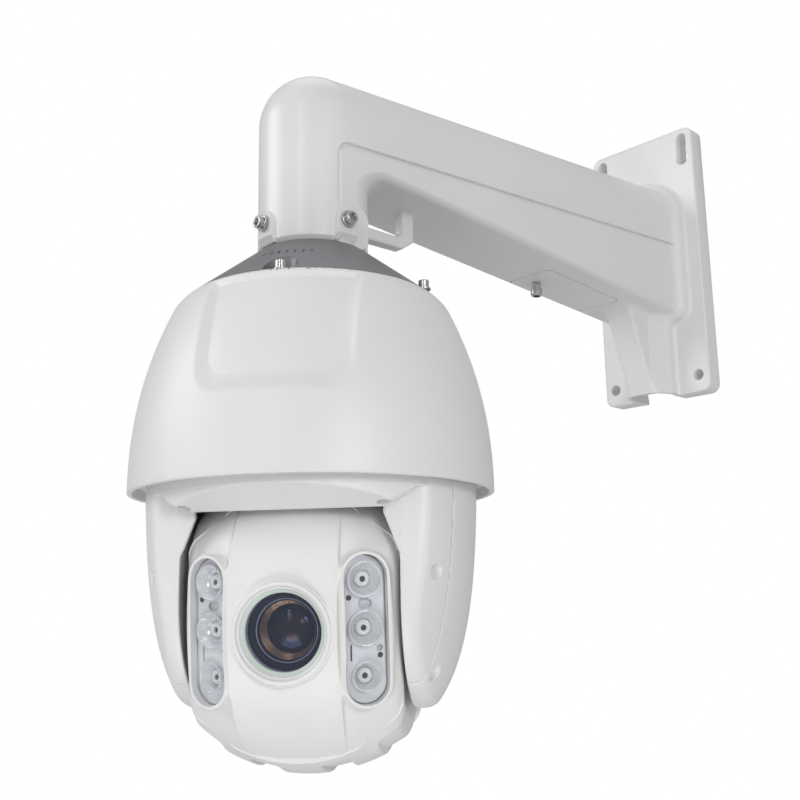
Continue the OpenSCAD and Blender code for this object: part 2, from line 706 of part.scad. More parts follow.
module head_seal() {
    color("#333333") at_tilt() intersection() {
        difference() {
            head_ball(cover_t + 0.1);
            head_ball(cover_t + 2.1);
        }
        translate([-100, split_y + 0.1, -100]) cube([200, 3, 200]);
    }
}
module lens_bezel() {
    color(white) at_tilt() rotate([90, 0, 0]) rotate_extrude() polygon([[window_r + 0.1, 66], [bezel_r - 0.1, 66],
        [bezel_r - 0.1, 75.7], [bezel_r + 0.8, 75.7], [bezel_r + 0.8, 76.8], [bezel_r - 0.6, 77.2],
        [window_r + 2.6, 76.2], [window_r + 2.2, 73.5], [window_r + 0.1, 71.5]]);
}
module lens_window() { color("#2b2f3a") at_tilt() ahead(-68, window_r, 2); }
module lens_barrel() {
    color("#1a1a1c") at_tilt() difference() {
        ahead(30, barrel_r, 96);
        ahead(32, group_r + 0.3, 110);
    }
}
module front_lens() { color("#30364a") at_tilt() ahead(-55, group_r + 0.2, 8); }
module zoom_group() { color("#26262a") at_tilt() ahead(-28, group_r, 9); }
module focus_group() { color("#26262a") at_tilt() ahead(-2, group_r, 7); }
module ir_filter() { color("#4a2a30") at_tilt() translate([-5.5, 20, -5.5]) cube([11, 1.2, 11]); }
module sensor_board() {
    color("#1f5c3a") at_tilt() union() {
        translate([-21, 32, -21]) cube([42, 1.6, 42]);
        translate([-6, 30.5, -5]) cube([12, 1.5, 10]);
    }
}
module camera_chassis() {
    color(steel) at_tilt() difference() {
        union() {
            translate([-52, -30, -26]) cube([104, 56, 3]);
            for (side = [-1, 1]) translate([side > 0 ? 49 : -52, -30, -26]) cube([3, 56, 46]);
            for (y = [-24, 12]) translate([-22, y, -24]) cube([44, 8, 14]);
        }
        ahead(60, barrel_r + 0.05, 120);
        translate([-80, 0, 0]) along_x() cylinder(r = 5, h = 160);
    }
}
module tilt_shaft(side, reach_out) {
    at_tilt() rotate([0, 90 * side, 0]) difference() {
        union() {
            translate([0, 0, 52]) cylinder(r = 14.9, h = 5);
            translate([0, 0, 57]) cylinder(r = shaft_r, h = reach_out - 57);
        }
        translate([0, 0, 50]) cylinder(r = 5, h = 60);
    }
}
module left_tilt_shaft() { color(steel) tilt_shaft(-1, 72); }
module right_tilt_shaft() { color(steel) tilt_shaft(1, pulley_x + pulley_w); }
module tilt_pulley() {
    color(steel) at_tilt() along_x() ring(pulley_x, pulley_w, pulley_r, shaft_r + fit_gap);
}
module lamp_window(side) { color("#d5dbe6") at_tilt() at_lamp(side) lamp_slot(23.2, 78.2, -0.6, 1); }
module left_lamp_window() { lamp_window(-1); }
module right_lamp_window() { lamp_window(1); }
lamp_z = [26, 0.3, -24.8];
function lamp_cup(i) = i < 2 ? cup_r : cup_small_r;
module lamp_board(side) {
    color("#dfe2e6") at_tilt() at_lamp(side) translate([-10, 12, -37]) cube([20, 1.6, 74]);
}
module left_lamp_board() { lamp_board(-1); }
module right_lamp_board() { lamp_board(1); }
module reflectors(side) {
    color("#c9ccd6") at_tilt() at_lamp(side) for (i = [0:2]) translate([0, 0, lamp_z[i]]) rotate([90, 0, 0])
        rotate_extrude() polygon([[3, -11.8], [4, -11.8], [lamp_cup(i), -2.5], [lamp_cup(i), -1.5],
            [lamp_cup(i) - 1, -1.5], [3, -10.5]]);
}
module left_reflectors() { reflectors(-1); }
module right_reflectors() { reflectors(1); }
module lamp_leds() {
    color("#f4f4f0") at_tilt() for (side = [-1, 1], i = [0:2]) at_lamp(side) translate([0, 0, lamp_z[i]]) {
        ahead(12, 2.6, 3);
        translate([0, 9, 0]) sphere(r = 2.6);
    }
}
module lamp_screws() {
    color(steel) at_tilt() for (side = [-1, 1], p = [[-8.5, 17], [8.5, -14]]) at_lamp(side)
        translate([p[0], 12, p[1]]) ahead(0, 1.2, 9);
}

wall_bracket();
cable_hatch();
hatch_screw();
neck_screws();
top_adapter();
adapter_screws();
adapter_seal();
dome_shell();
skirt_ring();
support_posts();
base_plate();
main_board();
board_parts();
board_standoffs();
slip_ring_stator();
pan_bearing_outer();
pan_bearing_balls();
pan_motor();
pan_pinion();
yoke_frame();
turning_ring();
ring_screws();
pan_shaft();
pan_gear();
pan_bearing_inner();
slip_ring_rotor();
left_arm_front();
right_arm_front();
left_arm_cover();
right_arm_cover();
arm_cover_screws();
tilt_bearings();
tilt_motor();
motor_pulley();
tilt_belt();
driver_board();
head_front_shell();
head_rear_shell();
head_seal();
lens_bezel();
lens_window();
lens_barrel();
front_lens();
zoom_group();
focus_group();
ir_filter();
sensor_board();
camera_chassis();
left_tilt_shaft();
right_tilt_shaft();
tilt_pulley();
left_lamp_window();
right_lamp_window();
left_lamp_board();
right_lamp_board();
left_reflectors();
right_reflectors();
lamp_leds();
lamp_screws();
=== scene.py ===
"""Outdoor speed-dome camera on its wall arm: the looks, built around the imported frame."""
import json
import math
from concurrent.futures import ThreadPoolExecutor

import bpy
import numpy as np
from mathutils import Matrix


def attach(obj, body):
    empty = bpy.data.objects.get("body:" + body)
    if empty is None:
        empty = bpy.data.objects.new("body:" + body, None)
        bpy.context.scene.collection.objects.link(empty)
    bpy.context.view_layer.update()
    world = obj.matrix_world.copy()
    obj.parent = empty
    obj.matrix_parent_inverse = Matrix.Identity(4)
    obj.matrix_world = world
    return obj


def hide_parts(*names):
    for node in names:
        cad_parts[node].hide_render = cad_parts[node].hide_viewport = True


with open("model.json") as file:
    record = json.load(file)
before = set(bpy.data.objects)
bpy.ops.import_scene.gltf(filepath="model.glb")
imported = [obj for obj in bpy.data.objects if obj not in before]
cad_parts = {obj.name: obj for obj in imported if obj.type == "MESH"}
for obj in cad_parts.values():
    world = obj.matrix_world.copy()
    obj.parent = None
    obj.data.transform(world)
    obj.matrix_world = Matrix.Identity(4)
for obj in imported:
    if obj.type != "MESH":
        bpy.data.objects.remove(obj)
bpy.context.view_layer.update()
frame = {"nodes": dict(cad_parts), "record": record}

MM = 0.001


def spin(degrees, axis="Z"):
    return Matrix.Rotation(math.radians(degrees), 4, axis)


def shift(x, y, z):
    return Matrix.Translation((x, y, z))


# ---- The frames that the CAD uses, in millimetres and degrees ----
REACH = 408.0
PAN_REST, TILT_REST, TILT_Z = 38.0, 6.0, -305.0
WALL = Matrix.Identity(4)
DOME = shift(0, -REACH, 0)
PAN = DOME @ spin(PAN_REST)
TILT = PAN @ shift(0, 0, TILT_Z) @ spin(TILT_REST, "X")
# Turns a lathe's +Z axis to -Y, the way the lens looks.
FORWARD = spin(90, "X")


# ---- Distance fields ----
# A field takes points, an array (n, 3) in millimetres, and gives the signed distance to a solid: below zero
# inside it. A sloping face is a weighted sum of two distances, divided by the length of the two weights.
def norm(*parts):
    """Length of the vectors with these parts."""
    return np.sqrt(sum(part * part for part in parts))


def join(a, b, r=0.0):
    """Union, with a fillet of radius r in the inner corner."""
    if r == 0.0:
        return np.minimum(a, b)
    return np.maximum(r, np.minimum(a, b)) - norm(np.maximum(r - a, 0), np.maximum(r - b, 0))


def meet(a, b, r=0.0):
    """Intersection, with the outer edge rounded by r."""
    return -join(-a, -b, r)


def cut(a, b, r=0.0):
    """a without b, with the edge rounded by r."""
    return meet(a, -b, r)


def slab(v, low, high):
    """Distance outside the layer from low to high."""
    return np.maximum(low - v, v - high)


def box(p, low, high, r=0.0):
    centre, half = np.add(low, high) / 2, np.subtract(high, low) / 2 - r
    q = np.abs(p - centre) - half
    return np.minimum(q.max(1), 0) + np.linalg.norm(np.maximum(q, 0), axis=1) - r


def outline(x, y, points):
    """Signed distance to a closed polygon."""
    best = np.full(x.shape, 1e9)
    sign = np.ones(x.shape)
    for (ax, ay), (bx, by) in zip(points, points[1:] + points[:1]):
        ex, ey = bx - ax, by - ay
        wx, wy = x - ax, y - ay
        t = np.clip((wx * ex + wy * ey) / (ex * ex + ey * ey), 0, 1)
        best = np.minimum(best, (wx - ex * t) ** 2 + (wy - ey * t) ** 2)
        left = ex * wy > ey * wx
        above, below = y >= ay, y < by
        sign = np.where((above & below & left) | (~above & ~below & ~left), -sign, sign)
    return sign * np.sqrt(best)


def rectangle(x, y, w, h, r):
    """Signed distance to a rounded rectangle about the origin."""
    qx, qy = np.abs(x) - w / 2 + r, np.abs(y) - h / 2 + r
    return np.minimum(np.maximum(qx, qy), 0) + norm(np.maximum(qx, 0), np.maximum(qy, 0)) - r


def turned(p, degrees, centre=(0, 0)):
    """Points seen from a frame that is turned about an upright axis through centre."""
    a = math.radians(degrees)
    x, y = p[:, 0] - centre[0], p[:, 1] - centre[1]
    return np.stack([x * math.cos(a) + y * math.sin(a), y * math.cos(a) - x * math.sin(a), p[:, 2]], 1)


def within(p, low, high, base, change):
    """base, changed by change(points, values) only inside a box, which saves time."""
    inside = ((p > np.array(low)) & (p < np.array(high))).all(1)
    if inside.any():
        base = base.copy()
        base[inside] = change(p[inside], base[inside])
    return base


# ---- Meshing a field ----
# A grid is filled block by block, where the surface is nearer than NEAR blocks.
BLOCK, NEAR, FAR = 8, 1.1, 1e3
CHUNK = 40000
# A cell's point may lie SLACK cells outside it. DAMPING holds it near the cell's middle on flat spots.
SLACK, DAMPING = 0.2, 0.05
WORKERS = ThreadPoolExecutor(4)
TETRA = np.array([[1, 1, 1], [1, -1, -1], [-1, 1, -1], [-1, -1, 1]]) / math.sqrt(3)


def evaluate(field, points):
    """The field's values, worked out in chunks on several threads."""
    parts = np.array_split(points, max(1, len(points) // CHUNK))
    return np.concatenate(list(WORKERS.map(field, parts)))


def sample(field, low, high, step):
    """Values of the field on a grid, worked out only in the blocks near its surface."""
    low = np.array(low, float)
    blocks = np.ceil((np.array(high, float) - low) / (step * BLOCK)).astype(int)
    grid = np.full(blocks * BLOCK + 1, FAR, np.float32)
    where = np.stack(np.meshgrid(*[np.arange(n) for n in blocks], indexing="ij"), -1).reshape(-1, 3)
    middle = evaluate(field, low + (where + 0.5) * BLOCK * step)
    for i, j, k in where[middle < 0] * BLOCK:
        grid[i:i + BLOCK + 1, j:j + BLOCK + 1, k:k + BLOCK + 1] = -FAR
    near = where[np.abs(middle) < NEAR * BLOCK * step] * BLOCK
    corner = np.stack(np.meshgrid(*[np.arange(BLOCK + 1)] * 3, indexing="ij"), -1).reshape(-1, 3)
    for part in np.array_split(near, max(1, len(near) // 1000)):
        points = (part[:, None] + corner[None]).reshape(-1, 3)
        grid[points[:, 0], points[:, 1], points[:, 2]] = evaluate(field, low + points * step)
    return grid


def slope(field, points, eps):
    """The field's gradient over a distance eps, as unit vectors."""
    g = sum(evaluate(field, points + eps * t)[:, None] * t for t in TETRA)
    return g / np.maximum(np.linalg.norm(g, axis=1, keepdims=True), 1e-9)


def contour(field, low, high, step):
    """Points and quads of the field's surface. Each point lies where the tangent planes in its cell meet."""
    grid = sample(field, low, high, step)
    inside = grid < 0
    count = np.zeros(np.array(grid.shape) - 1, np.int8)
    for corner in np.ndindex(2, 2, 2):
        count += inside[tuple(slice(c, c + n) for c, n in zip(corner, count.shape))]
    cells = np.argwhere((count > 0) & (count < 8))
    number = np.full(count.shape, -1, np.int32)
    number[tuple(cells.T)] = np.arange(len(cells))
    unit = np.eye(3, dtype=int)
    planes = np.zeros((len(cells), 13))
    quads = []
    for axis in range(3):
        b, c = unit[(axis + 1) % 3], unit[(axis + 2) % 3]
        here = [slice(1, -1)] * 3
        here[axis] = slice(0, -1)
        there = list(here)
        there[axis] = slice(1, None)
        p = np.argwhere(inside[tuple(here)] != inside[tuple(there)]) + 1 - unit[axis]
        f0, f1 = grid[tuple(p.T)], grid[tuple((p + unit[axis]).T)]
        hit = p + (f0 / (f0 - f1))[:, None] * unit[axis]
        normal = slope(field, low + hit * step, 0.03)
        ring = np.stack([number[tuple(q.T)] for q in (p, p - b, p - b - c, p - c)], 1)
        offset = (normal * hit).sum(1)
        rows = [normal[:, i] * normal[:, j] for i in range(3) for j in range(i, 3)]
        rows += [normal[:, i] * offset for i in range(3)] + [hit[:, i] for i in range(3)] + [np.ones(len(p))]
        for corner in ring.T:
            for row, values in enumerate(rows):
                planes[:, row] += np.bincount(corner, values, len(cells))
        quads.append(np.where((f0 < 0)[:, None], ring, ring[:, ::-1]))
    middle = planes[:, 9:12] / planes[:, 12:]
    a = planes[:, [0, 1, 2, 1, 3, 4, 2, 4, 5]].reshape(-1, 3, 3)
    right = planes[:, 6:9] - np.einsum("nij,nj->ni", a, middle)
    move = np.linalg.solve(a + DAMPING * np.eye(3), right[..., None])[..., 0]
    points = np.clip(middle + move, cells - SLACK, cells + (1 + SLACK))
    return np.array(low) + points * step, np.concatenate(quads)


def mesh_object(name, points, faces):
    """An object from points in metres and faces."""
    mesh = bpy.data.meshes.new(name)
    mesh.from_pydata(points.tolist(), [], faces.tolist())
    made = bpy.data.objects.new(name, mesh)
    bpy.context.scene.collection.objects.link(made)
    return made


def thin_out(made, share):
    """Merges faces where the surface is plain, down to the given share of them."""
    made.modifiers.new("thin", "DECIMATE").ratio = share
    mesh = bpy.data.meshes.new_from_object(made.evaluated_get(bpy.context.evaluated_depsgraph_get()))
    made.modifiers.clear()
    old, made.data = made.data, mesh
    bpy.data.meshes.remove(old)


def read(collection, attribute, width, kind=np.float32):
    """An attribute of all of a mesh's vertices, loops or polygons, as an array."""
    values = np.zeros(len(collection) * width, kind)
    collection.foreach_get(attribute, values)
    return values.reshape(-1, width) if width > 1 else values


def local(p, at):
    """Points seen from the frame at."""
    return (p - np.array(at.translation)) @ np.array(at.to_3x3())


def carve(name, field, low, high, step, at=WALL, share=0.25):
    """A piece whose surface is where the field is zero, between two corners.

    The step is the grid's, and share is how many of the faces thin_out keeps. There is one copy of the piece
    for each frame in at. Its normals come from the field, a little inside each face.
    """
    made = mesh_object(name, *contour(field, low, high, step))
    if share < 1:
        thin_out(made, share)
    old = made.data
    points = read(old.vertices, "co", 3).astype(float)
    corner = read(old.loops, "vertex_index", 1, np.int32)
    starts = read(old.polygons, "loop_start", 1, np.int32)
    sizes = np.diff(np.append(starts, len(corner)))
    middle = np.repeat(np.add.reduceat(points[corner], starts) / sizes[:, None], sizes, axis=0)
    inward = middle - points[corner]
    inward *= np.minimum(0.35, 0.3 / np.maximum(np.linalg.norm(inward, axis=1, keepdims=True), 1e-9))
    normal = slope(field, points[corner] + inward, 0.06)
    frames = at if isinstance(at, list) else [at]
    turns = [np.array(f.to_3x3()) for f in frames]
    place = np.concatenate([points @ t.T + np.array(f.translation) for f, t in zip(frames, turns)]) * MM
    copies = range(len(frames))
    loops = np.concatenate([corner + i * len(points) for i in copies])
    begins = np.concatenate([starts + i * len(corner) for i in copies])
    mesh = bpy.data.meshes.new(name)
    mesh.vertices.add(len(place))
    mesh.loops.add(len(loops))
    mesh.polygons.add(len(begins))
    mesh.vertices.foreach_set("co", place.astype(np.float32).ravel())
    mesh.loops.foreach_set("vertex_index", loops)
    mesh.polygons.foreach_set("loop_start", begins)
    mesh.polygons.foreach_set("use_smooth", np.ones(len(begins), bool))
    mesh.update(calc_edges=True)
    mesh.normals_split_custom_set(np.concatenate([normal @ t.T for t in turns]).tolist())
    made.data = mesh
    bpy.data.meshes.remove(old)
    return made


def rounded(profile, r):
    """A profile of (radius, height) points with its corners rounded by up to r."""
    out = []
    for i, corner in enumerate(profile):
        if i in (0, len(profile) - 1):
            out.append(corner)
            continue
        corner = np.array(corner, float)
        to_last, to_next = np.array(profile[i - 1]) - corner, np.array(profile[i + 1]) - corner
        d0, d1 = np.linalg.norm(to_last), np.linalg.norm(to_next)
        reach = min(r, 0.45 * d0, 0.45 * d1)
        a, b = corner + to_last / d0 * reach, corner + to_next / d1 * reach
        for t in (0, 0.25, 0.5, 0.75, 1):
            out.append(tuple((1 - t) ** 2 * a + 2 * t * (1 - t) * corner + t * t * b))
    return out


def lathe(name, profile, at, edge=0.3, steps=96):
    """A turned piece. The profile's heights run along the +Z axis of each frame in at."""
    frames = at if isinstance(at, list) else [at]
    line = np.array(rounded(profile, edge))
    angle = np.arange(steps) * 2 * math.pi / steps
    ring = np.stack([np.outer(line[:, 0], np.cos(angle)), np.outer(line[:, 0], np.sin(angle)),
                     np.repeat(line[:, 1:], steps, 1)], -1).reshape(-1, 3)
    i, j = [g.ravel() for g in np.meshgrid(np.arange(len(line) - 1), np.arange(steps), indexing="ij")]
    k = (j + 1) % steps
    quads = np.stack([i * steps + j, i * steps + k, (i + 1) * steps + k, (i + 1) * steps + j], 1)
    places = [(ring @ np.array(f.to_3x3()).T + np.array(f.translation)) * MM for f in frames]
    faces = np.concatenate([quads + n * len(ring) for n in range(len(frames))])
    made = mesh_object(name, np.concatenate(places), faces)
    mesh = made.data
    mesh.validate()
    mesh.polygons.foreach_set("use_smooth", np.ones(len(mesh.polygons), bool))
    mesh.set_sharp_from_angle(angle=math.radians(40))
    return made


def joined(parts, name):
    """Several objects as one."""
    with bpy.context.temp_override(active_object=parts[0], selected_editable_objects=parts):
        bpy.ops.object.join()
    parts[0].name = name
    return parts[0]


def finished(made, body, slot, *nodes):
    """Says what the piece moves with, what it's made of and which nodes it stands for."""
    repaint(made, MATERIALS[slot])
    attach(made, body)
    if nodes:
        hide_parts(*nodes)
    return made


def repaint(made, paint):
    """Gives a piece other looks than its slot's."""
    made.data.materials.clear()
    made.data.materials.append(paint)


# ---- Materials ----
def add_node(tree, kind, **values):
    """A new shader node with some of its sockets set. In their names, an underscore stands for a space."""
    made = tree.nodes.new("ShaderNode" + kind)
    for socket, value in values.items():
        made.inputs[socket.replace("_", " ")].default_value = value
    return made


def mixed(tree, first, second, share):
    """A mix of two shaders. The second one's share is a number or a socket."""
    made = add_node(tree, "MixShader")
    if isinstance(share, float):
        made.inputs["Fac"].default_value = share
    else:
        tree.links.new(share, made.inputs["Fac"])
    tree.links.new(first.outputs[0], made.inputs[1])
    tree.links.new(second.outputs[0], made.inputs[2])
    return made


def material(name, color, rough, metal=0.0, fine=900.0, bump=0.02, mottle=0.02, spread=0.06, coat=0.0):
    """A surface with slightly uneven colour and roughness, and fine bumps, all worked out from its place."""
    made = bpy.data.materials.new(name)
    made.use_nodes = True
    tree = made.node_tree
    link = tree.links.new
    shader = tree.nodes["Principled BSDF"]
    shader.inputs["Metallic"].default_value = metal
    shader.inputs["Coat Weight"].default_value = coat
    shader.inputs["Coat Roughness"].default_value = 0.12
    place = add_node(tree, "TexCoord")

    def noise(scale, detail):
        node = add_node(tree, "TexNoise", Scale=scale, Detail=detail)
        link(place.outputs["Object"], node.inputs["Vector"])
        return node.outputs["Fac"]

    def span(source, low, high):
        node = add_node(tree, "MapRange", From_Min=0.3, From_Max=0.7, To_Min=low, To_Max=high)
        link(source, node.inputs["Value"])
        return node.outputs["Result"]

    tint = add_node(tree, "Mix")
    tint.data_type = "RGBA"
    tint.inputs["A"].default_value = (*[c * (1 - mottle) for c in color], 1)
    tint.inputs["B"].default_value = (*[min(1, c * (1 + mottle)) for c in color], 1)
    link(span(noise(14.0, 3.0), 0, 1), tint.inputs["Factor"])
    link(tint.outputs["Result"], shader.inputs["Base Color"])
    link(span(noise(60.0, 4.0), rough * (1 - spread), rough * (1 + spread)), shader.inputs["Roughness"])
    relief = add_node(tree, "Bump", Strength=bump, Distance=0.001)
    link(noise(fine, 2.0), relief.inputs["Height"])
    link(relief.outputs["Normal"], shader.inputs["Normal"])
    return made


def clear(name, tint, rough, through):
    """Thin glass: mostly see-through, with a mirror that grows towards grazing angles."""
    made = material(name, tint, rough, bump=0.004, mottle=0.01)
    tree = made.node_tree
    link = tree.links.new
    shader, out = tree.nodes["Principled BSDF"], tree.nodes["Material Output"]
    shader.inputs["Specular IOR Level"].default_value = 0.5
    see = add_node(tree, "BsdfTransparent", Color=(*through, 1))
    gloss = add_node(tree, "BsdfGlossy", Roughness=rough)
    facing = add_node(tree, "LayerWeight", Blend=0.5)
    steep = add_node(tree, "Math")
    steep.operation = "POWER"
    steep.inputs[1].default_value = 4.0
    link(facing.outputs["Facing"], steep.inputs[0])
    edge = add_node(tree, "MapRange", To_Min=0.04, To_Max=0.8)
    link(steep.outputs["Value"], edge.inputs["Value"])
    haze = mixed(tree, mixed(tree, see, gloss, edge.outputs["Result"]), shader, 0.02)
    link(haze.outputs["Shader"], out.inputs["Surface"])
    return made


def coated(name, color, rough, share):
    """An inner lens surface whose coating mirrors one colour."""
    made = material(name, (0.01, 0.012, 0.02), 0.12, bump=0.0)
    tree = made.node_tree
    shader, out = tree.nodes["Principled BSDF"], tree.nodes["Material Output"]
    gloss = add_node(tree, "BsdfGlossy", Color=(*color, 1), Roughness=rough)
    deep = mixed(tree, add_node(tree, "BsdfTransparent"), shader, 0.1)
    tree.links.new(mixed(tree, deep, gloss, share).outputs["Shader"], out.inputs["Surface"])
    return made


MATERIALS = {
    "bracket_paint": material("bracket_paint", (0.80, 0.80, 0.798), 0.3, fine=1400, bump=0.05),
    "fastener_steel": material("fastener_steel", (0.6, 0.59, 0.58), 0.2, 1.0, spread=0.3),
    # adapter_paint's dark grey is the shell's white paint darkened to the shade on the cone's upward face
    # under the arm: painted shade.
    "adapter_paint": material("adapter_paint", (0.22, 0.215, 0.232), 0.45, 0.35, fine=2200, bump=0.08),
    "shell_paint": material("shell_paint", (0.80, 0.80, 0.80), 0.42, fine=1800, bump=0.03),
    "seal_rubber": material("seal_rubber", (0.03, 0.03, 0.03), 0.6),
    "inner_steel": material("inner_steel", (0.6, 0.6, 0.6), 0.32, 1.0, spread=0.3),
    "cast_alloy": material("cast_alloy", (0.62, 0.63, 0.64), 0.45, 1.0, bump=0.1),
    "circuit_board": material("circuit_board", (0.04, 0.17, 0.09), 0.4),
    "black_parts": material("black_parts", (0.028, 0.032, 0.044), 0.38),
    "gear_plastic": material("gear_plastic", (0.72, 0.68, 0.58), 0.45),
    "contact_brass": material("contact_brass", (0.72, 0.55, 0.25), 0.25, 1.0),
    "cover_plastic": material("cover_plastic", (0.82, 0.82, 0.815), 0.38, fine=2000, bump=0.03),
    "clear_glass": clear("clear_glass", (0.9, 0.92, 0.95), 0.03, (0.98, 0.985, 0.99)),
    "lens_glass": clear("lens_glass", (0.2, 0.25, 0.4), 0.02, (0.85, 0.87, 0.95)),
    "lamp_carrier": material("lamp_carrier", (0.84, 0.85, 0.88), 0.4),
    "reflector_chrome": material("reflector_chrome", (0.84, 0.85, 0.88), 0.3, 0.55, spread=0.3),
    "led_lens": material("led_lens", (0.86, 0.86, 0.84), 0.15, coat=0.6),
}
# Looks that have no slot of their own.
TINTED_RIM = material("tinted_rim", (0.66, 0.76, 0.69), 0.2, coat=0.4)
BLUE_COATING = coated("blue_coating", (0.5, 0.62, 1.0), 0.04, 0.03)
AMBER_COATING = coated("amber_coating", (1.0, 0.58, 0.26), 0.14, 0.06)
VIOLET_COATING = coated("violet_coating", (0.6, 0.5, 0.8), 0.05, 0.08)
WARM_METAL = material("warm_metal", (0.38, 0.22, 0.11), 0.28, 0.95)


# ---- Wall bracket ----
# Below, _R is a radius, _W, _H, _L and _T are width, height, length and thickness, _D is a depth, _AZ is an
# angle about the dome's upright axis, and _X, _Y and _Z are places.
PLATE_W, PLATE_H, PLATE_T, PLATE_R, RIM_T = 106.0, 243.0, 17.0, 8.0, 4.0
BOLT_X, BOLT_LOW_Z, KEY_LOW_Z, KEY_TOP_Z, BOLT_R, KEY_R = 42.4, -106.5, 93.0, 112.0, 4.5, 5.6
ARM_R, ARM_Z, ARM_RISE, ARM_LOW_Z, ARM_DROP, CAST_T = 35.0, 6.0, 33.0, -24.4, 28.4, 3.5
NECK_Z, NECK_SCREW_Z, NECK_SCREW_AZ, NECK_SEAT = -80.0, -66.0, (-4, 86, 266), 38.1
PAD_R, PAD_OUT, BOSS_X = 7.6, 36.9, 35.2
PANEL_X, PANEL_FRONT, PANEL_END, PANEL_TOP, PANEL_RISE, PANEL_R = 33.9, -415.5, -28.0, -13.4, 26.5, 8.5
STEP_D, STEP_W, GROOVE_W, GROOVE_SLOPE = 1.5, 2.8, 2.6, 0.65
FOOT_OUT, FOOT_RUN, FOOT_RISE = 41.0, 31.0, 76.5
HATCH_X, HATCH_Y, HATCH_W, HATCH_L, HATCH_T = -9.0, 230.0, 42.0, 94.0, 1.6


def underside(p):
    """Height below the arm's sloping underside."""
    run = 1 + p[:, 1] / REACH
    return (ARM_LOW_Z - ARM_DROP * run - p[:, 2]) * math.cos(math.atan(ARM_DROP / REACH))


def arm_body(p, edge):
    """The arm's round top, flat sides and flat underside, without ends."""
    x, y, z = p.T
    up = (z - ARM_Z - ARM_RISE * (1 + y / REACH)) * math.cos(math.atan(ARM_RISE / REACH))
    return np.where(up > 0, norm(x, up) - ARM_R, meet(np.abs(x) - ARM_R, underside(p), edge))


def neck_body(p, r):
    """The turned-down neck: upright below the arm, a ball above."""
    return norm(p[:, 0], p[:, 1] + REACH, np.maximum(p[:, 2] - ARM_Z, 0)) - r


def foot_body(p, grow):
    """The foot under the arm, which runs down the plate to the cable outlet."""
    x, y, z = p.T
    plan = outline(np.abs(x), y, [(-9, 9), (22, 9), (22, -26), (12.5, -44), (12.5, -90), (-9, -90)])
    lean = math.cos(math.atan(FOOT_RUN / FOOT_RISE))
    front = (-y - FOOT_OUT - FOOT_RUN * (z + PLATE_H / 2) / FOOT_RISE) * lean
    return meet(plan - grow, front - grow, 2.5)


def panel_edges(p):
    """Distances outside the side panel's front edge and its top edge."""
    top = (p[:, 2] - PANEL_TOP - PANEL_RISE * (1 + p[:, 1] / REACH)) * math.cos(math.atan(PANEL_RISE / REACH))
    return PANEL_FRONT - p[:, 1], top


def panel_cut(p):
    """The sunk side panel: a groove along the top, and one with a slanted wall along the front."""
    front, top = panel_edges(p)
    edge = meet(front, top, PANEL_R)
    mix = np.clip((front - top) / 6 + 0.5, 0, 1)
    step = PANEL_X - STEP_D * np.clip((edge + STEP_W) / 0.8, 0, 1)
    groove = PANEL_X + GROOVE_SLOPE * np.clip(-edge - GROOVE_W, -GROOVE_W, 0)
    face = mix * groove + (1 - mix) * step
    return np.maximum(np.maximum(edge, (face - np.abs(p[:, 0])) * 0.85), p[:, 1] - PANEL_END)


def bracket_outside(p):
    """Arm and neck, without the plate."""
    x, y, z = p.T
    side = np.abs(x)
    neck = meet(neck_body(p, ARM_R), (NECK_Z - z + neck_body(p, ARM_R) + 2.6) / math.sqrt(2), 0.4)
    neck = np.maximum(neck, NECK_Z - z)
    arm = np.maximum(arm_body(p, 7), np.maximum(-y - REACH, y))
    corner = join(neck, np.maximum(arm, z + 8), 14)
    corner = np.maximum(corner, np.maximum(side - ARM_R + 0.05, np.maximum(z + 12, -400 - y)))
    body = np.minimum(np.minimum(arm, neck), corner)
    boss = meet(slab(y, -411, -393), meet(side - BOSS_X, slab(z, NECK_Z + 0.8, -60), 1.5), 1.5)
    boss = np.maximum(boss, (side - BOSS_X - 0.6 * (z - NECK_Z - 5)) / 1.17)
    body = join(body, np.maximum(boss, 20 - side), 9)
    return cut(body, panel_cut(p), 0.25)


def neck_pad(p, base, az):
    """The arched boss of one screw at the neck's foot."""
    q = turned(p, az, (0, -REACH))
    across, out, up = q[:, 0], -q[:, 1], q[:, 2] - NECK_SCREW_Z
    arch = norm(across, np.maximum(up, 0)) - PAD_R
    boss = np.maximum(meet(arch, out - PAD_OUT, 1.0), np.maximum(26 - out, NECK_Z + 0.8 - q[:, 2]))
    boss = np.maximum(boss, (out - PAD_OUT - 0.7 * (q[:, 2] - NECK_Z - 5)) / 1.22)
    return join(base, boss, 0.8)


def safety_eye(p, base):
    """A bar from the neck's foot that turns up into the arm's underside."""
    y, z = p[:, 1], p[:, 2]
    bar = outline(y, z, [(-380, -58), (-332, -57), (-321.5, -50), (-321.5, -20), (-331, -20), (-331, -45.5),
                         (-336, -50), (-380, -50)])
    return join(base, meet(bar - 0.5, np.abs(p[:, 0]) - 4.5, 1.5), 2.5)


def bolt_holes(p, base):
    """The round holes below and the keyholes above, each in a collar."""
    x, z = np.abs(p[:, 0]) - BOLT_X, p[:, 2]
    key_h = KEY_TOP_Z - KEY_LOW_Z + 2 * BOLT_R
    slot = rectangle(x, z - (KEY_LOW_Z + KEY_TOP_Z) / 2, 2 * BOLT_R, key_h, BOLT_R - 0.01)
    keyhole = np.minimum(slot, norm(x, z - KEY_LOW_Z) - KEY_R)
    hole = np.minimum(norm(x, z - BOLT_LOW_Z) - BOLT_R, keyhole)
    depth = slab(p[:, 1], -13, 0)
    collar = np.maximum(norm(x, z - BOLT_LOW_Z) - BOLT_R - 3, depth)
    collar = np.minimum(collar, np.maximum(keyhole - 2.5, depth))
    return cut(np.minimum(base, collar), hole, 0.9)


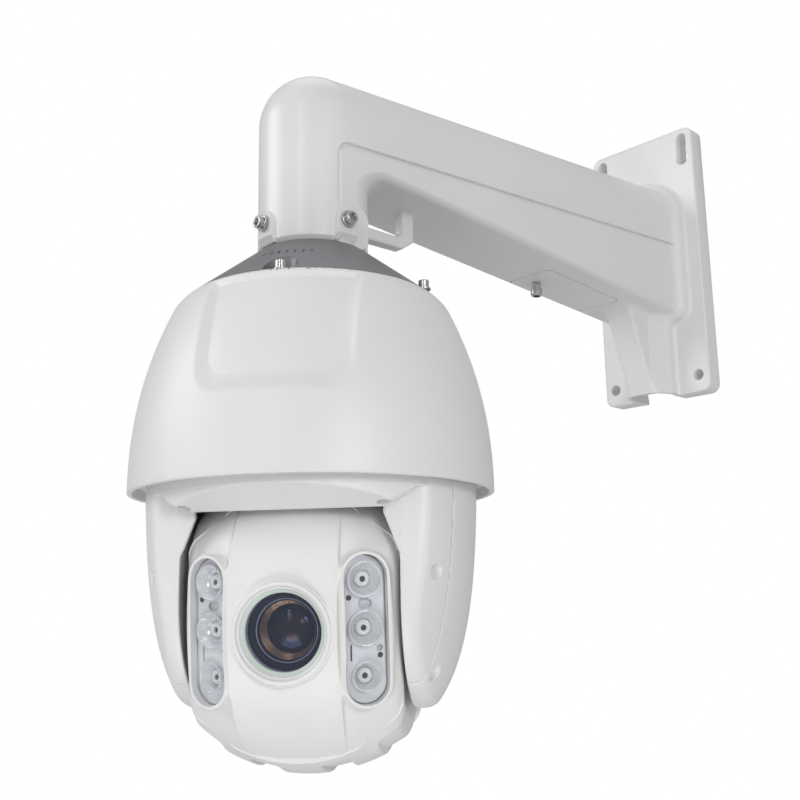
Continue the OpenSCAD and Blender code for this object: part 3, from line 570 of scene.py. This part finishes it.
def wall_bracket_field(p):
    """The whole casting: plate, collar, arm, neck, foot, pads, eye and holes, hollow inside."""
    x, y, z = p.T
    body = bracket_outside(p)
    plate = meet(rectangle(x, z, PLATE_W, PLATE_H, PLATE_R), slab(y, -PLATE_T, 0), 1.2)
    tray = rectangle(x, z, PLATE_W - 2 * RIM_T, PLATE_H - 2 * RIM_T, PLATE_R - RIM_T)
    plate = np.maximum(plate, -meet(tray, slab(y, 5 - PLATE_T, 9), 1.5))
    collar = meet(arm_body(p, 8) - 4.2, slab(y, -26.5, -PLATE_T + 2), 3.5)
    foot = np.maximum(foot_body(p, 0), np.maximum(-PLATE_H / 2 + 0.6 - z, np.maximum(z + 40, y + 1)))
    body = join(body, collar, 7)
    body = join(body, foot, 9)
    body = join(body, plate, 3.5)
    body = np.maximum(body, np.maximum(y, -z - PLATE_H / 2))
    for az in NECK_SCREW_AZ:
        body = within(p, (-45, -455, -80), (45, -365, -50), body, lambda q, base: neck_pad(q, base, az))
    body = within(p, (-12, -385, -66), (12, -312, -20), body, safety_eye)
    hollow = np.maximum(arm_body(p, 3) + CAST_T, np.maximum(-y - REACH, y + CAST_T))
    hollow = np.minimum(hollow, np.maximum(neck_body(p, ARM_R - 4), NECK_Z - 1 - z))
    hollow = np.minimum(hollow, np.maximum(foot_body(p, -CAST_T), z + 45))
    hollow = np.minimum(hollow, box(p, (-31, -20, -40), (31, 9, 40), 3))
    hollow = np.minimum(hollow, box(p, (-12, -30, -140), (12, 9, -56), 2))
    body = cut(body, hollow, 0.6)
    for low, high in (((-60, -30, 80), (60, 9, 125)), ((-60, -30, -125), (60, 9, -90))):
        body = within(p, low, high, body, bolt_holes)
    return body


# ---- Screws ----
def hexagon(x, y, flat):
    """Signed distance to a hexagon with the given half width across its flats."""
    x, y = np.abs(x), np.abs(y)
    return np.maximum(y, 0.866 * x + 0.5 * y) - flat


def cap_screw(head_r, head_h, shank_r, shank_l, key, flange=0.0):
    """A socket-head screw with its seat at z = 0 and its head towards -Z.

    Gives its field and the two corners of the space round it, as carve takes them.
    """
    def field(p):
        x, y, z = p.T
        r = norm(x, y)
        head = meet(r - head_r, slab(z, -head_h, 0), 0.5)
        body = np.minimum(head, np.maximum(r - shank_r, slab(z, -0.5, shank_l)))
        if flange:
            body = np.minimum(body, meet(r - flange, slab(z, -1.0, 0.2), 0.35))
        return cut(body, np.maximum(hexagon(x, y, key), z + head_h * 0.4), 0.15)
    reach = max(head_r, flange) + 0.5
    return field, (-reach, -reach, -head_h - 0.5), (reach, reach, shank_l + 0.5)


# The arm's underside: y runs along it towards the wall and z points into the arm.
UNDER = shift(0, -REACH, ARM_LOW_Z) @ Matrix.Rotation(-math.atan(ARM_DROP / REACH), 4, "X")
HATCH_SCREW = (-14.0, 246.0, -5.0)


def hatch_opening(p, base):
    """Cuts the recess for the hatch, the way behind it and the captive screw's hole."""
    q = local(p, UNDER)
    x, y, z = q[:, 0] - HATCH_X, q[:, 1] - HATCH_Y - HATCH_L / 2, q[:, 2]
    recess = np.maximum(rectangle(x, y, HATCH_W + 0.8, HATCH_L + 0.8, 5), z - HATCH_T)
    way = np.maximum(rectangle(x, y - 10, HATCH_W - 10, HATCH_L - 30, 4), z - 12)
    hole = np.maximum(norm(q[:, 0] - HATCH_SCREW[0], q[:, 1] - HATCH_SCREW[1]) - 2.1, z - 12)
    return cut(base, np.minimum(np.minimum(recess, way), hole), 0.35)


def build_bracket():
    def field(p):
        body = wall_bracket_field(p)
        return within(p, (-45, -190, -64), (25, -70, -20), body, hatch_opening)
    casting = carve("bracket_casting", field, (-56, -446, -124), (56, 2, 124), 0.95, share=0.16)
    finished(casting, "mount", "bracket_paint", "wall_bracket")

    def hatch(p):
        x, y, z = p[:, 0] - HATCH_X, p[:, 1] - HATCH_Y - HATCH_L / 2, p[:, 2]
        plate = meet(rectangle(x, y, HATCH_W - 0.4, HATCH_L - 0.4, 4.6), slab(z, 0, HATCH_T), 0.35)
        return np.maximum(plate, 2.3 - norm(p[:, 0] - HATCH_SCREW[0], p[:, 1] - HATCH_SCREW[1]))
    cover = carve("hatch_plate", hatch, (-32, 228, -0.5), (14, 326, 2.5), 0.6, UNDER)
    finished(cover, "mount", "bracket_paint", "cable_hatch")

    def captive(p):
        x, y, z = p.T
        r = norm(x, y)
        head = meet(meet(r - 4.7, slab(z, -6.4, 0), 0.3), (r - 4.7 - z - 5.4) / math.sqrt(2), 0.2)
        body = np.minimum(head, meet(r - 3.2, slab(z, 0.6, 4.6), 0.4))
        body = np.minimum(body, np.maximum(r - 2.0, slab(z, -1, 11)))
        return cut(body, np.maximum(hexagon(x, y, 2.4), z + 2.4), 0.15)
    seat = UNDER @ shift(*HATCH_SCREW)
    screw = carve("captive_screw", captive, (-5.2, -5.2, -6.8), (5.2, 5.2, 11.5), 0.3, seat)
    finished(screw, "mount", "fastener_steel", "hatch_screw")
    seats = [DOME @ spin(az) @ shift(0, -NECK_SEAT, NECK_SCREW_Z) @ spin(-90, "X") for az in NECK_SCREW_AZ]
    screws = carve("neck_cap_screws", *cap_screw(3.9, 4.5, 2.9, 7, 2.2, 5.2), 0.3, seats)
    finished(screws, "mount", "fastener_steel", "neck_screws")


# ---- Dome: fixed part ----
SKIRT_R, SKIRT_Z, LIP_Z, LIP_R, SHELL_T, RECESS_D, RECESS_AZ = 110.0, -233.0, -113.3, 77.5, 3.0, 4.5, 38.0
SHELF_Z, POCKET_AT, POCKET_AZ, POCKET_R, POCKET_Z = LIP_Z - 4.7, 71.0, 36.0, 10.0, LIP_Z + 0.8
SHELL_H, SHELL_IN, SHELL_POWER = 122.0, 29.5, 2.2
BEVEL_R, BEVEL_RISE, BEVEL_RUN, BEVEL_LENGTH = 84.1, 4.7, 6.6, 8.1
CONE_R, CONE_Z, CONE_FALL, CONE_RUN, CONE_LENGTH = 34.0, -80.1, 33.2, 43.6, 54.8
RECESS_X, RECESS_Z = 44.0, -187.5
# How far each adapter screw stands proud of its pocket.
SCREWED_OUT = (0, 5.5, 0, 0)
TICKS_AZ, TICK_PITCH, TICKS_R = 34.0, 5.4, 52.0


def shell_side(r, z):
    """Distance outside the shell's curved side."""
    up = np.clip((z - SKIRT_Z) / SHELL_H, 0, 1.05)
    lean = SHELL_IN * SHELL_POWER / SHELL_H * up ** (SHELL_POWER - 1)
    return (r - SKIRT_R + SHELL_IN * up ** SHELL_POWER) / np.sqrt(1 + lean * lean)


def shell_field(p):
    """The housing: a bell with a bevelled top, open for the adapter, with a recess front and back."""
    x, y, z = p.T
    r = norm(x, y)
    side = shell_side(r, z)
    bevel = (BEVEL_RISE * (r - BEVEL_R) + BEVEL_RUN * (z - SHELF_Z)) / BEVEL_LENGTH
    outside = meet(side, bevel, 3.0)
    body = meet(np.maximum(outside, z - LIP_Z), SKIRT_Z - z, 0.8)
    body = np.maximum(body, -np.maximum(r - LIP_R, SHELF_Z - z))
    turn = [turned(p, RECESS_AZ + a) for a in (0, 180)]
    u = np.where(turn[0][:, 1] < 0, turn[0][:, 0], turn[1][:, 0])
    flank = (RECESS_D * (np.abs(u) - RECESS_X) - 4.5 * outside) / 6.4
    foot = (RECESS_D * (RECESS_Z - z) - 8 * outside) / 9.2
    window = meet(flank, foot, 9)
    recess = meet(window, -outside - RECESS_D, 1.2)
    recess = meet(recess, 79.6 - r, 1.5)
    pad = np.maximum(np.abs(u) - (RECESS_X + 3), RECESS_Z - 4.5 - z)
    pad = np.maximum(pad, -side - SHELL_T - RECESS_D)
    inside = np.maximum(side + SHELL_T, z - SHELF_Z + 3)
    inside = np.maximum(inside, -pad)
    body = cut(body, recess, 0.9)
    body = cut(body, inside, 0.5)
    return np.maximum(body, np.where(z > -130, 57 - r, -FAR))


def adapter_field(p):
    """A hollow cone on the housing's shelf, with a pocket round each screw."""
    x, y, z = p.T
    r = norm(x, y)
    cone = (CONE_FALL * (r - CONE_R) + CONE_RUN * (z - CONE_Z)) / CONE_LENGTH
    cone = meet(cone, np.maximum(r - LIP_R + 0.3, SHELF_Z - z), 0.8)
    body = np.maximum(cone, z - CONE_Z)
    body = np.minimum(body, np.maximum(r - 30.9, slab(z, -85, -50)))
    inside = (CONE_FALL * (r - (CONE_R - 1)) + CONE_RUN * (z + 84)) / CONE_LENGTH
    inside = np.maximum(inside, r - 69)
    body = np.maximum(body, -inside)
    body = np.maximum(body, 24 - r)
    for i in range(4):
        q = turned(p, POCKET_AZ + 90 * i)
        at = norm(q[:, 0], q[:, 1] + POCKET_AT)
        solid = np.maximum(np.maximum(at - POCKET_R - 2.5, cone), z + 90)
        body = np.minimum(body, solid)
        pocket = meet(at - POCKET_R, POCKET_Z - z, 1.2)
        body = cut(body, pocket, 0.7)
        body = np.maximum(body, 2.2 - at)
    return body


def tick_marks(p, base):
    """A row of short engraved strokes, an alignment scale."""
    r = norm(p[:, 0], p[:, 1])
    angle = np.degrees(np.arctan2(p[:, 0], -p[:, 1])) - TICKS_AZ
    across = (angle - np.round(angle / TICK_PITCH) * TICK_PITCH) * math.pi / 180 * r
    groove = np.maximum(np.abs(across) - 0.6, np.abs(r - TICKS_R) - 2.0)
    groove = np.maximum(groove, np.abs(angle) - 3.2 * TICK_PITCH)
    return cut(base, np.maximum(groove, base - 1), 0.1)


def build_dome():
    housing = carve("dome_housing", shell_field, (-111, -111, -235), (111, 111, -112), 1.05, DOME, 0.15)
    finished(housing, "mount", "shell_paint", "dome_shell")

    def field(p):
        return tick_marks(p, adapter_field(p))
    cone = carve("adapter_cone", field, (-79, -79, -119), (79, 79, -49), 1.0, DOME)
    # The cone's dark grey paint is painted shade: the shell's white darkened to the shade it shows.
    finished(cone, "mount", "adapter_paint", "top_adapter")
    turn_over = Matrix.Diagonal((1, -1, -1, 1))
    seats = [DOME @ spin(POCKET_AZ + 90 * i) @ shift(0, -POCKET_AT, POCKET_Z + out) @ turn_over
             for i, out in enumerate(SCREWED_OUT)]
    screws = carve("adapter_cap_screws", *cap_screw(3.3, 6, 2.0, 5.0, 1.6, 4.4), 0.3, seats)
    finished(screws, "mount", "fastener_steel", "adapter_screws")


# ---- The turning body ----
RING_R, RING_Z, RING_TOP = 98.6, -236.5, -214.0
YOKE_IN, YOKE_HALF, YOKE_END_Z, COVER_T, SEAM_Y = 61.5, 62.0, -295.0, 2.5, -42.0
COVER_SCREWS = ((78.7, -52.6, -282.0), (74.8, -34.5, -336.0), (96.3, 12.0, -246.0))
CHIN_SCREW_X, CHIN_SCREW_Y = 55.4, 73.2
ARM_TOP_Z, BROW_R, BROW_X = -232.0, 89.6, 61.3
FLARE_D, FLARE_Z, FLARE_H = 8.6, -272.0, 22.0
BODY_R, BODY_HALF, BODY_MID = 100.0, 250.0, -125.0


def ring_field(p):
    """The turning ring with a chin in front and behind, cut free of the head."""
    x, y, z = p.T
    r = norm(x, y)
    ring = meet(r - RING_R, np.maximum(95.2 - r, slab(z, RING_Z, RING_TOP)), 0.6)
    front = outline(-np.abs(y), z, [(-64.5, -231), (-98.6, -231), (-98.6, -236), (-69.5, -248),
                                    (-64.5, -248)])
    low = outline(x, z, [(-78, -231), (-78, -235), (-72, -237), (-55, -248), (55, -248), (72, -237),
                         (78, -235), (78, -231)])
    chin = meet(meet(front, low, 1.2), r - RING_R, 0.8)
    body = join(ring, chin, 0.5)
    brow = np.maximum(norm(y, z - TILT_Z) - BROW_R, np.abs(x) - BROW_X)
    body = cut(body, brow, 1.0)
    bore = np.maximum(norm(np.abs(x) - CHIN_SCREW_X, np.abs(y) - CHIN_SCREW_Y) - 4.0, z + 238)
    return cut(body, bore, 0.6)


def arm_block(p, shrink, inner):
    """A solid arm on the +X side: a slice of the body's rounded bell with a rounded end."""
    x, y, z = p.T
    r, h = norm(x, y) / (BODY_R - shrink), (z - BODY_MID) / (BODY_HALF - shrink)
    size = (r ** 4 + h ** 4) ** 0.25
    pull = norm(r ** 3 / (BODY_R - shrink), h ** 3 / (BODY_HALF - shrink)) / size ** 3
    skin = (size - 1) / pull
    plan = np.where(z > YOKE_END_Z, np.abs(y), norm(y, z - YOKE_END_Z)) - YOKE_HALF + shrink
    return meet(meet(skin, plan, 3.5 - 0.6 * shrink), inner - x, 1.0)


def arm_flare(p):
    """The front wall's inward flare at the top of an arm, clear of the head."""
    x, y, z = p.T
    inner = YOKE_IN - FLARE_D * np.clip((z - FLARE_Z) / FLARE_H, 0, 1)
    wall = meet(meet(inner - x, x - YOKE_IN - 3, 0.5), slab(y, -YOKE_HALF, -58.5), 0.8)
    sweep = HEAD_R - BARREL * x * x + 2.5 - norm(y, z - TILT_Z)
    return np.maximum(np.maximum(wall, sweep), np.maximum(z + 238, -274 - z))


def arm_field(side, front):
    """One half of an arm's hollow cover. The screws' seats belong to the half they're in."""
    def field(p):
        p = p * np.array([side, 1, 1])
        x, y, z = p.T
        body = np.maximum(arm_block(p, 0, YOKE_IN), z - ARM_TOP_Z)
        body = np.maximum(body, -arm_block(p, COVER_T, YOKE_IN - 9))
        if front:
            body = join(body, arm_flare(p), 0.6)
        body = meet(body, y - SEAM_Y if front else SEAM_Y + 0.8 - y, 0.25)
        for sx, sy, sz in COVER_SCREWS:
            bore = norm(y - sy, z - sz)
            seat = np.maximum(arm_block(p, 0.3, YOKE_IN), z - (ARM_TOP_Z - 1))
            seat = np.maximum(np.maximum(bore - 5.5, sx - 6 - x), seat)
            if (sy < SEAM_Y) == front:
                body = np.minimum(body, seat)
            body = cut(body, np.maximum(bore - 3.8, sx - 2 - x), 0.8)
        return body
    return field


def build_yoke():
    ring = carve("ring_and_chin", ring_field, (-99.5, -99.5, -249), (99.5, 99.5, -213), 0.9, PAN)
    finished(ring, "pan", "cover_plastic", "turning_ring")
    for side, word in ((-1, "left"), (1, "right")):
        low, high = sorted((side * 52, side * 101))
        for front, part, y0, y1 in ((True, "front", -63, -41), (False, "cover", -43, 63)):
            field = arm_field(side, front)
            skin = carve(f"{word}_arm_{part}_skin", field, (low, y0, -359), (high, y1, -231), 0.9, PAN)
            finished(skin, "pan", "cover_plastic", f"{word}_arm_{part}")
    seats = [PAN @ shift(side * (x - 3.6), y, z) @ spin(-90 * side, "Y")
             for side in (-1, 1) for x, y, z in COVER_SCREWS]
    screws = carve("cover_cap_screws", *cap_screw(2.8, 1.4, 1.5, 10, 1.3), 0.25, seats)
    finished(screws, "pan", "fastener_steel", "arm_cover_screws")
    seats = [PAN @ spin(half_turn) @ shift(side * CHIN_SCREW_X, -CHIN_SCREW_Y, -238.2)
             for half_turn in (0, 180) for side in (-1, 1)]
    screws = carve("chin_screws", *cap_screw(3.0, 1.4, 2.9, 0.6, 1.3), 0.25, seats)
    finished(screws, "pan", "fastener_steel", "ring_screws")


# ---- Head ----
HEAD_R, HEAD_W, SPLIT_Y, BAND_W, FACE_Y, BAND_R, SIDE_R = 87.5, 59.5, -48.0, 30.0, -75.5, 107.0, 138.0
# The head's radius shrinks by BARREL times the square of the distance from its middle.
BARREL = 0.0055
LAMP_X, LAMP_Y, LAMP_TURN, LAMP_Z, CUPS = 43.7, -64.5, 25.0, (26.0, 0.3, -24.8), (9.6, 9.6, 8.0)
LAMP_SCREWS = ((-8.3, 16.5), (8.3, -14.3))
LIP_W, LIP_H, OPENING_W, OPENING_H, WINDOW_W, WINDOW_H = 27.2, 82.2, 23.6, 78.6, 23.2, 78.2
BEZEL_SEAT_R, BEZEL_BORE_R = 28.0, 26.0


def head_ball(p, shrink):
    """The head's body: a barrel about the tilt axis, between flat sides."""
    x, y, z = p.T
    lean = 2 * BARREL * np.abs(x)
    skin = (norm(y, z) - HEAD_R + BARREL * x * x + shrink) / np.sqrt(1 + lean * lean)
    return meet(skin, np.abs(x) - HEAD_W + shrink, 5.0)


def lamp_local(p):
    """Points seen from the lamp window on their own side, with -Y along its outward normal."""
    q = p.copy()
    q[:, 0] = np.abs(q[:, 0])
    return turned(q, LAMP_TURN, (LAMP_X, LAMP_Y))


def side_face(p):
    """The wide curve that carries a lamp window."""
    return norm(lamp_local(p)[:, 1] - SIDE_R - 0.2, p[:, 2]) - SIDE_R


def head_face(p, shrink):
    """The front: a raised band in the middle, and the lamps' faces on both sides of it."""
    x, y, z = p.T
    band = meet(np.abs(x) - BAND_W + shrink, norm(y - FACE_Y - BAND_R, z) - BAND_R + shrink, 0.7)
    return join(band, np.maximum(side_face(p) + shrink, BAND_W - 2 - np.abs(x)), 0.7)


def head_skin(p, base):
    """The head's outside: base, with soft corners between ball and face above and below the lamps."""
    soft = np.clip((np.abs(p[:, 2]) - 42) / 14, 0, 1) * np.clip((np.abs(p[:, 0]) - 34) / 6, 0, 1)
    return (1 - soft) * base + soft * meet(head_ball(p, 0), side_face(p), 7)


def obround(q, w, h):
    """Distance outside an upright slot with round ends."""
    return norm(q[:, 0], np.maximum(np.abs(q[:, 2]) - (h - w) / 2, 0)) - w / 2


def front_shell_field(p):
    """The face's shell, with raised lips round the lamp windows and a seat for the bezel."""
    x, y, z = p.T
    body = head_skin(p, meet(head_ball(p, 0), head_face(p, 0), 5))
    body = np.maximum(body, -body - COVER_T)
    q = lamp_local(p)
    lip = meet(obround(q, LIP_W, LIP_H), slab(q[:, 1], -0.4, 4), 0.5)
    body = join(body, np.maximum(lip, head_ball(p, 0.4)), 4)
    r = norm(x, z)
    body = join(body, meet(r - BEZEL_SEAT_R, slab(y, FACE_Y - 0.2, FACE_Y + 4), 0.8), 1.2)
    body = cut(body, np.maximum(r - BEZEL_BORE_R, y - SPLIT_Y - 1), 0.3)
    body = cut(body, np.maximum(obround(q, OPENING_W, OPENING_H), slab(q[:, 1], -6, 8)), 0.4)
    return np.maximum(body, y - SPLIT_Y - 0.05)


def rear_shell_field(p):
    """The back's shell, with pockets below, a notch on each side and holes for the tilt shafts."""
    x, y, z = p.T
    skin = head_skin(p, head_ball(p, 0))
    body = np.maximum(skin, -skin - COVER_T - 2)
    across = np.minimum(slab(np.abs(x), 12, 28), slab(np.abs(x), 44, 70))
    pocket = meet(meet(across, slab(y, -42, 25), 3), np.maximum(-skin - 2.8, z), 0.6)
    body = cut(body, pocket, 0.8)
    notch = box(np.abs(p) * [1, 0, 0] + p * [0, 1, 1], (56.5, -41, -54), (63, -33, -46), 0.8)
    body = cut(body, notch, 0.4)
    body = np.maximum(body, 15.2 - norm(y, z))
    return np.maximum(body, SPLIT_Y - 0.05 - y)


def lamp_frame(side):
    """The frame of a lamp window, with -Y along its outward normal."""
    return TILT @ shift(side * LAMP_X, LAMP_Y, 0) @ spin(side * LAMP_TURN)


def build_lamps():
    """On each side a window, a carrier and three reflectors, then all the LEDs and the carriers' screws."""
    def window(p):
        return meet(obround(p, WINDOW_W, WINDOW_H), slab(p[:, 1], -0.6, 1), 0.3)

    def carrier(p):
        x, y, z = p.T
        board = box(p, (-10, 12, -37), (10, 13.6, 37), 0.3)
        plate = meet(obround(p, 22.4, 77.4), slab(y, 5.0, 6.4), 0.4)
        for at, cup in zip(LAMP_Z, CUPS):
            plate = cut(plate, norm(x, z - at) - cup + 1.2, 0.4)
        slot = np.maximum(rectangle(x + 7.6, z + 12.4, 1.0, 8.5, 0.3), slab(y, 4, 7))
        plate = np.maximum(plate, -slot)
        tab = meet(rectangle(x - 0.5, z - 13.2, 7.5, 4.5, 2.2), slab(y, 3.4, 6), 0.6)
        post = meet(norm(x - 8, z + 10.5) - 1.7, slab(y, 3.0, 6), 0.5)
        well = np.maximum(obround(p, 23.3, 78.3), np.maximum(-obround(p, 22.3, 77.3), slab(y, 1.2, 6.4)))
        plate = np.minimum(np.minimum(plate, well), np.minimum(tab, post))
        return np.minimum(board, plate)

    def cross_screw(p):
        x, y, z = p.T
        r = norm(x, y)
        head = meet(norm(x, y, z - 1.2) - 2.0, np.maximum(r - 1.5, z - 1.0), 0.15)
        body = np.minimum(head, np.maximum(r - 0.8, slab(z, 0, 6)))
        arms = np.minimum(box(p, (-1, -0.22, -2), (1, 0.22, 0.1)), box(p, (-0.22, -1, -2), (0.22, 1, 0.1)))
        return np.maximum(body, -arms)

    for side, word in ((-1, "left"), (1, "right")):
        at = lamp_frame(side)
        glass = carve(f"{word}_lamp_glass", window, (-12.5, -1.5, -40), (12.5, 2, 40), 0.7, at)
        finished(glass, "head", "clear_glass", f"{word}_lamp_window")
        board = carve(f"{word}_lamp_carrier", carrier, (-12, 4, -39.5), (12, 14.5, 39.5), 0.5, at)
        finished(board, "head", "lamp_carrier", f"{word}_lamp_board")
        cups = []
        for z, cup in zip(LAMP_Z, CUPS):
            line = [(2.9, -11.9), (4.4, -11.9), (cup * 0.78, -7), (cup, -2.4), (cup, -1.5), (cup - 0.9, -1.5),
                    (cup * 0.68, -7), (2.9, -11.2)]
            cups.append(lathe(f"{word}_cup", line, at @ shift(0, 0, z) @ FORWARD, 0.25, 64))
        finished(joined(cups, f"{word}_lamp_cups"), "head", "reflector_chrome", f"{word}_reflectors")
    spots = [lamp_frame(side) @ shift(0, 0, z) @ FORWARD for side in (-1, 1) for z in LAMP_Z]
    collar = [(1.6, -9.0), (1.6, -6.5), (2.1, -6.1), (2.6, -6.5), (3.1, -6.3), (3.7, -6.8), (4.2, -7.9),
              (4.2, -11.6)]
    finished(lathe("lamp_led_collars", collar, spots, 0.2, 40), "head", "led_lens", "lamp_leds")
    bead = [(1.58 * math.sin(a), -8.7 + 1.5 * math.cos(a)) for a in np.linspace(0.25, 1.57, 6)]
    cores = lathe("lamp_led_cores", [(0.001, -7.2)] + bead + [(1.58, -9.0)], spots, 0.02, 32)
    finished(cores, "head", "black_parts")
    seats = [lamp_frame(side) @ shift(x, 4.9, z) @ spin(-90, "X") for side in (-1, 1) for x, z in LAMP_SCREWS]
    screws = carve("lamp_cross_screws", cross_screw, (-1.6, -1.6, -1.2), (1.6, 1.6, 7), 0.16, seats)
    finished(screws, "head", "fastener_steel", "lamp_screws")
    repaint(screws, MATERIALS["black_parts"])


def cap_profile(r, front, height, back):
    """A lens that bulges forward by height over the radius r and has a flat back."""
    rad = (r * r + height * height) / (2 * height)
    top = math.asin(r / rad)
    line = [(max(0.001, rad * math.sin(a)), front - height - (rad - height) + rad * math.cos(a))
            for a in np.linspace(0, top, 14)]
    return line + [(r, back), (0.001, back)]


def build_lens():
    """Turned pieces about the line of sight: their heights are distances in front of the tilt axis."""
    nose = TILT @ FORWARD

    def turned_part(name, profile, edge, slot, *nodes, steps=128):
        return finished(lathe(name, profile, nose, edge, steps), "head", slot, *nodes)

    bezel = [(20.8, 66), (25.9, 66), (25.9, 75.7), (26.8, 75.7), (26.8, 76.8), (25.4, 77.2), (24.6, 76.6),
             (24.2, 75.4), (23.0, 74.6), (22.6, 73.2), (20.8, 71.5), (20.8, 66)]
    turned_part("bezel_ring", bezel, 0.4, "cover_plastic", "lens_bezel", steps=160)
    rim = [(20.75, 70.2), (20.75, 71.7), (22.3, 73.3), (22.5, 72.8)]
    repaint(turned_part("bezel_tint", rim, 0.1, "cover_plastic"), TINTED_RIM)
    glass = [(0.001, 68), (20.7, 68), (20.7, 70), (0.001, 70)]
    turned_part("lens_cover_glass", glass, 0.3, "lens_glass", "lens_window")
    barrel = [(18.5, -30), (22, -30), (22, 66), (20.4, 66.6), (19.9, 64.6), (18.9, 64.6), (18.9, 65.5),
              (18.3, 65.5), (17.9, 62.8), (16.6, 62.8), (16.6, 63.6), (16.0, 63.6), (15.6, 60.4),
              (18.45, 56.5), (18.5, 54), (18.5, -30)]
    turned_part("lens_barrel_rings", barrel, 0.25, "black_parts", "lens_barrel")
    for name, r, z, bulge, coating, *nodes in (
            ("front_element", 15.5, 63.4, 4.6, BLUE_COATING, "front_lens"),
            ("second_element", 13.2, 59.5, 5.0, AMBER_COATING),
            ("inner_element", 9.2, 54.0, 1.6, VIOLET_COATING)):
        profile = cap_profile(r, z, bulge, z - bulge - 0.5)
        repaint(turned_part(name, profile, 0.05, "lens_glass", *nodes, steps=96), coating)
    cone = [(18.3, 56.4), (10.2, 52.9), (9.9, 53.3), (9.3, 52.4), (9.3, 51.6), (18.3, 51.6)]
    repaint(turned_part("lens_baffle", cone, 0.1, "black_parts"), WARM_METAL)
    # The inner trim ring is steel, but painted white so it shows as a bright ring in the dark lens: a painted
    # highlight.
    trim = [(10.2, 53.0), (10.1, 54.0), (9.5, 54.0), (9.4, 53.0)]
    repaint(turned_part("lens_trim_painted_highlight", trim, 0.1, "inner_steel"), MATERIALS["led_lens"])
    # The outer trim ring is steel, but painted light grey so it shows as a light ring in the lens: a painted
    # highlight.
    trim = [(17.1, 63.0), (17.0, 63.5), (16.75, 63.5), (16.65, 63.0)]
    repaint(turned_part("lens_outer_trim_painted_highlight", trim, 0.1, "inner_steel"), MATERIALS["lamp_carrier"])


def build_head():
    front = carve("head_front", front_shell_field, (-60, -78, -76), (60, -46, 76), 0.75, TILT)
    finished(front, "head", "cover_plastic", "head_front_shell")
    rear = carve("head_rear", rear_shell_field, (-60, -49, -88.5), (60, 88.5, 88.5), 0.95, TILT, 0.18)
    finished(rear, "head", "cover_plastic", "head_rear_shell")
    build_lamps()
    build_lens()


# ---- Scene ----
def paint_nodes():
    """The CAD nodes that no piece stands for show their slot's material."""
    for part in frame["record"]["subparts"]:
        repaint(frame["nodes"][part["node"]], MATERIALS[part["material_slot"]])


def aimed(place, target):
    """A frame at place whose -Z axis points at target."""
    back = np.subtract(place, target) / np.linalg.norm(np.subtract(place, target))
    right = np.cross((0, 0, 1), back)
    right = right / np.linalg.norm(right)
    columns = np.stack([right, np.cross(back, right), back, place], 1)
    return Matrix([*columns.tolist(), (0, 0, 0, 1)])


def area_light(name, place, target, size, power, spread=180):
    """An oval light of the given size in metres and power in watts."""
    lamp = bpy.data.lights.new(name, "AREA")
    lamp.shape, lamp.size, lamp.size_y, lamp.energy = "ELLIPSE", *size, power
    lamp.spread = math.radians(spread)
    made = bpy.data.objects.new(name, lamp)
    made.matrix_world = aimed(place, target)
    bpy.context.scene.collection.objects.link(made)


# In metres, degrees and, for the lens, millimetres.
CAMERA_AT, HEADING, PITCH, ROLL, LENS = (0.49291, -0.80875, -0.30465), 46.02, 11.66, -1.01, 46.9
WORLD_LIGHT, FLOOR_Z, FLOOR_HALF = 0.44, -1.6, 0.8
FLOOR_Y = -0.25


def build_camera():
    a, b = math.radians(HEADING), math.radians(PITCH)
    ahead = np.array((-math.sin(a) * math.cos(b), math.cos(a) * math.cos(b), math.sin(b)))
    place = aimed(CAMERA_AT, np.array(CAMERA_AT) + ahead) @ spin(ROLL)
    camera = bpy.data.objects.new("camera", bpy.data.cameras.new("camera"))
    camera.data.lens, camera.data.sensor_width = LENS, 36.0
    camera.data.clip_start = 0.02
    camera.matrix_world = place
    bpy.context.scene.collection.objects.link(camera)
    bpy.context.scene.camera = camera


def build_studio():
    """A white world, which lights the scene less than it shows, a pale floor and soft lights."""
    scene = bpy.context.scene
    scene.view_settings.view_transform = "Standard"
    scene.world = bpy.data.worlds.new("studio")
    scene.world.use_nodes = True
    tree = scene.world.node_tree
    back = tree.nodes["Background"]
    back.inputs["Color"].default_value = (1, 1, 1, 1)
    path = add_node(tree, "LightPath")
    level = add_node(tree, "MapRange", To_Min=WORLD_LIGHT, To_Max=1.0)
    tree.links.new(path.outputs["Is Camera Ray"], level.inputs["Value"])
    tree.links.new(level.outputs["Result"], back.inputs["Strength"])
    corners = [(x * FLOOR_HALF, y * FLOOR_HALF + FLOOR_Y, FLOOR_Z)
               for x, y in ((-1, -1), (1, -1), (1, 1), (-1, 1))]
    floor = mesh_object("floor", np.array(corners), np.array([(0, 1, 2, 3)]))
    repaint(floor, material("floor_paper", (0.86, 0.86, 0.86), 0.8, bump=0.0, mottle=0.01))
    middle, head = (0.0, -0.35, -0.15), (0.05, -0.45, -0.3)
    area_light("key", (-0.95, -1.6, 0.55), middle, (0.9, 0.9), 8.4)
    area_light("low_front", (0.33, -0.95, -0.85), head, (0.6, 0.4), 0.65, 100)
    area_light("right", (1.5, -0.9, 0.1), middle, (0.5, 0.5), 6.4)
    area_light("front_strip", (0.63, -1.66, 0.5), (0, -0.4, -0.05), (0.1, 0.9), 1.8)
    area_light("top", (-0.25, -0.1, 1.4), (0.0, -0.25, 0.1), (1.1, 1.1), 2.8)
    area_light("back", (-1.3, 1.1, 0.5), middle, (1.0, 1.0), 2.4)


paint_nodes()
build_bracket()
build_dome()
build_yoke()
build_head()
build_studio()
build_camera()
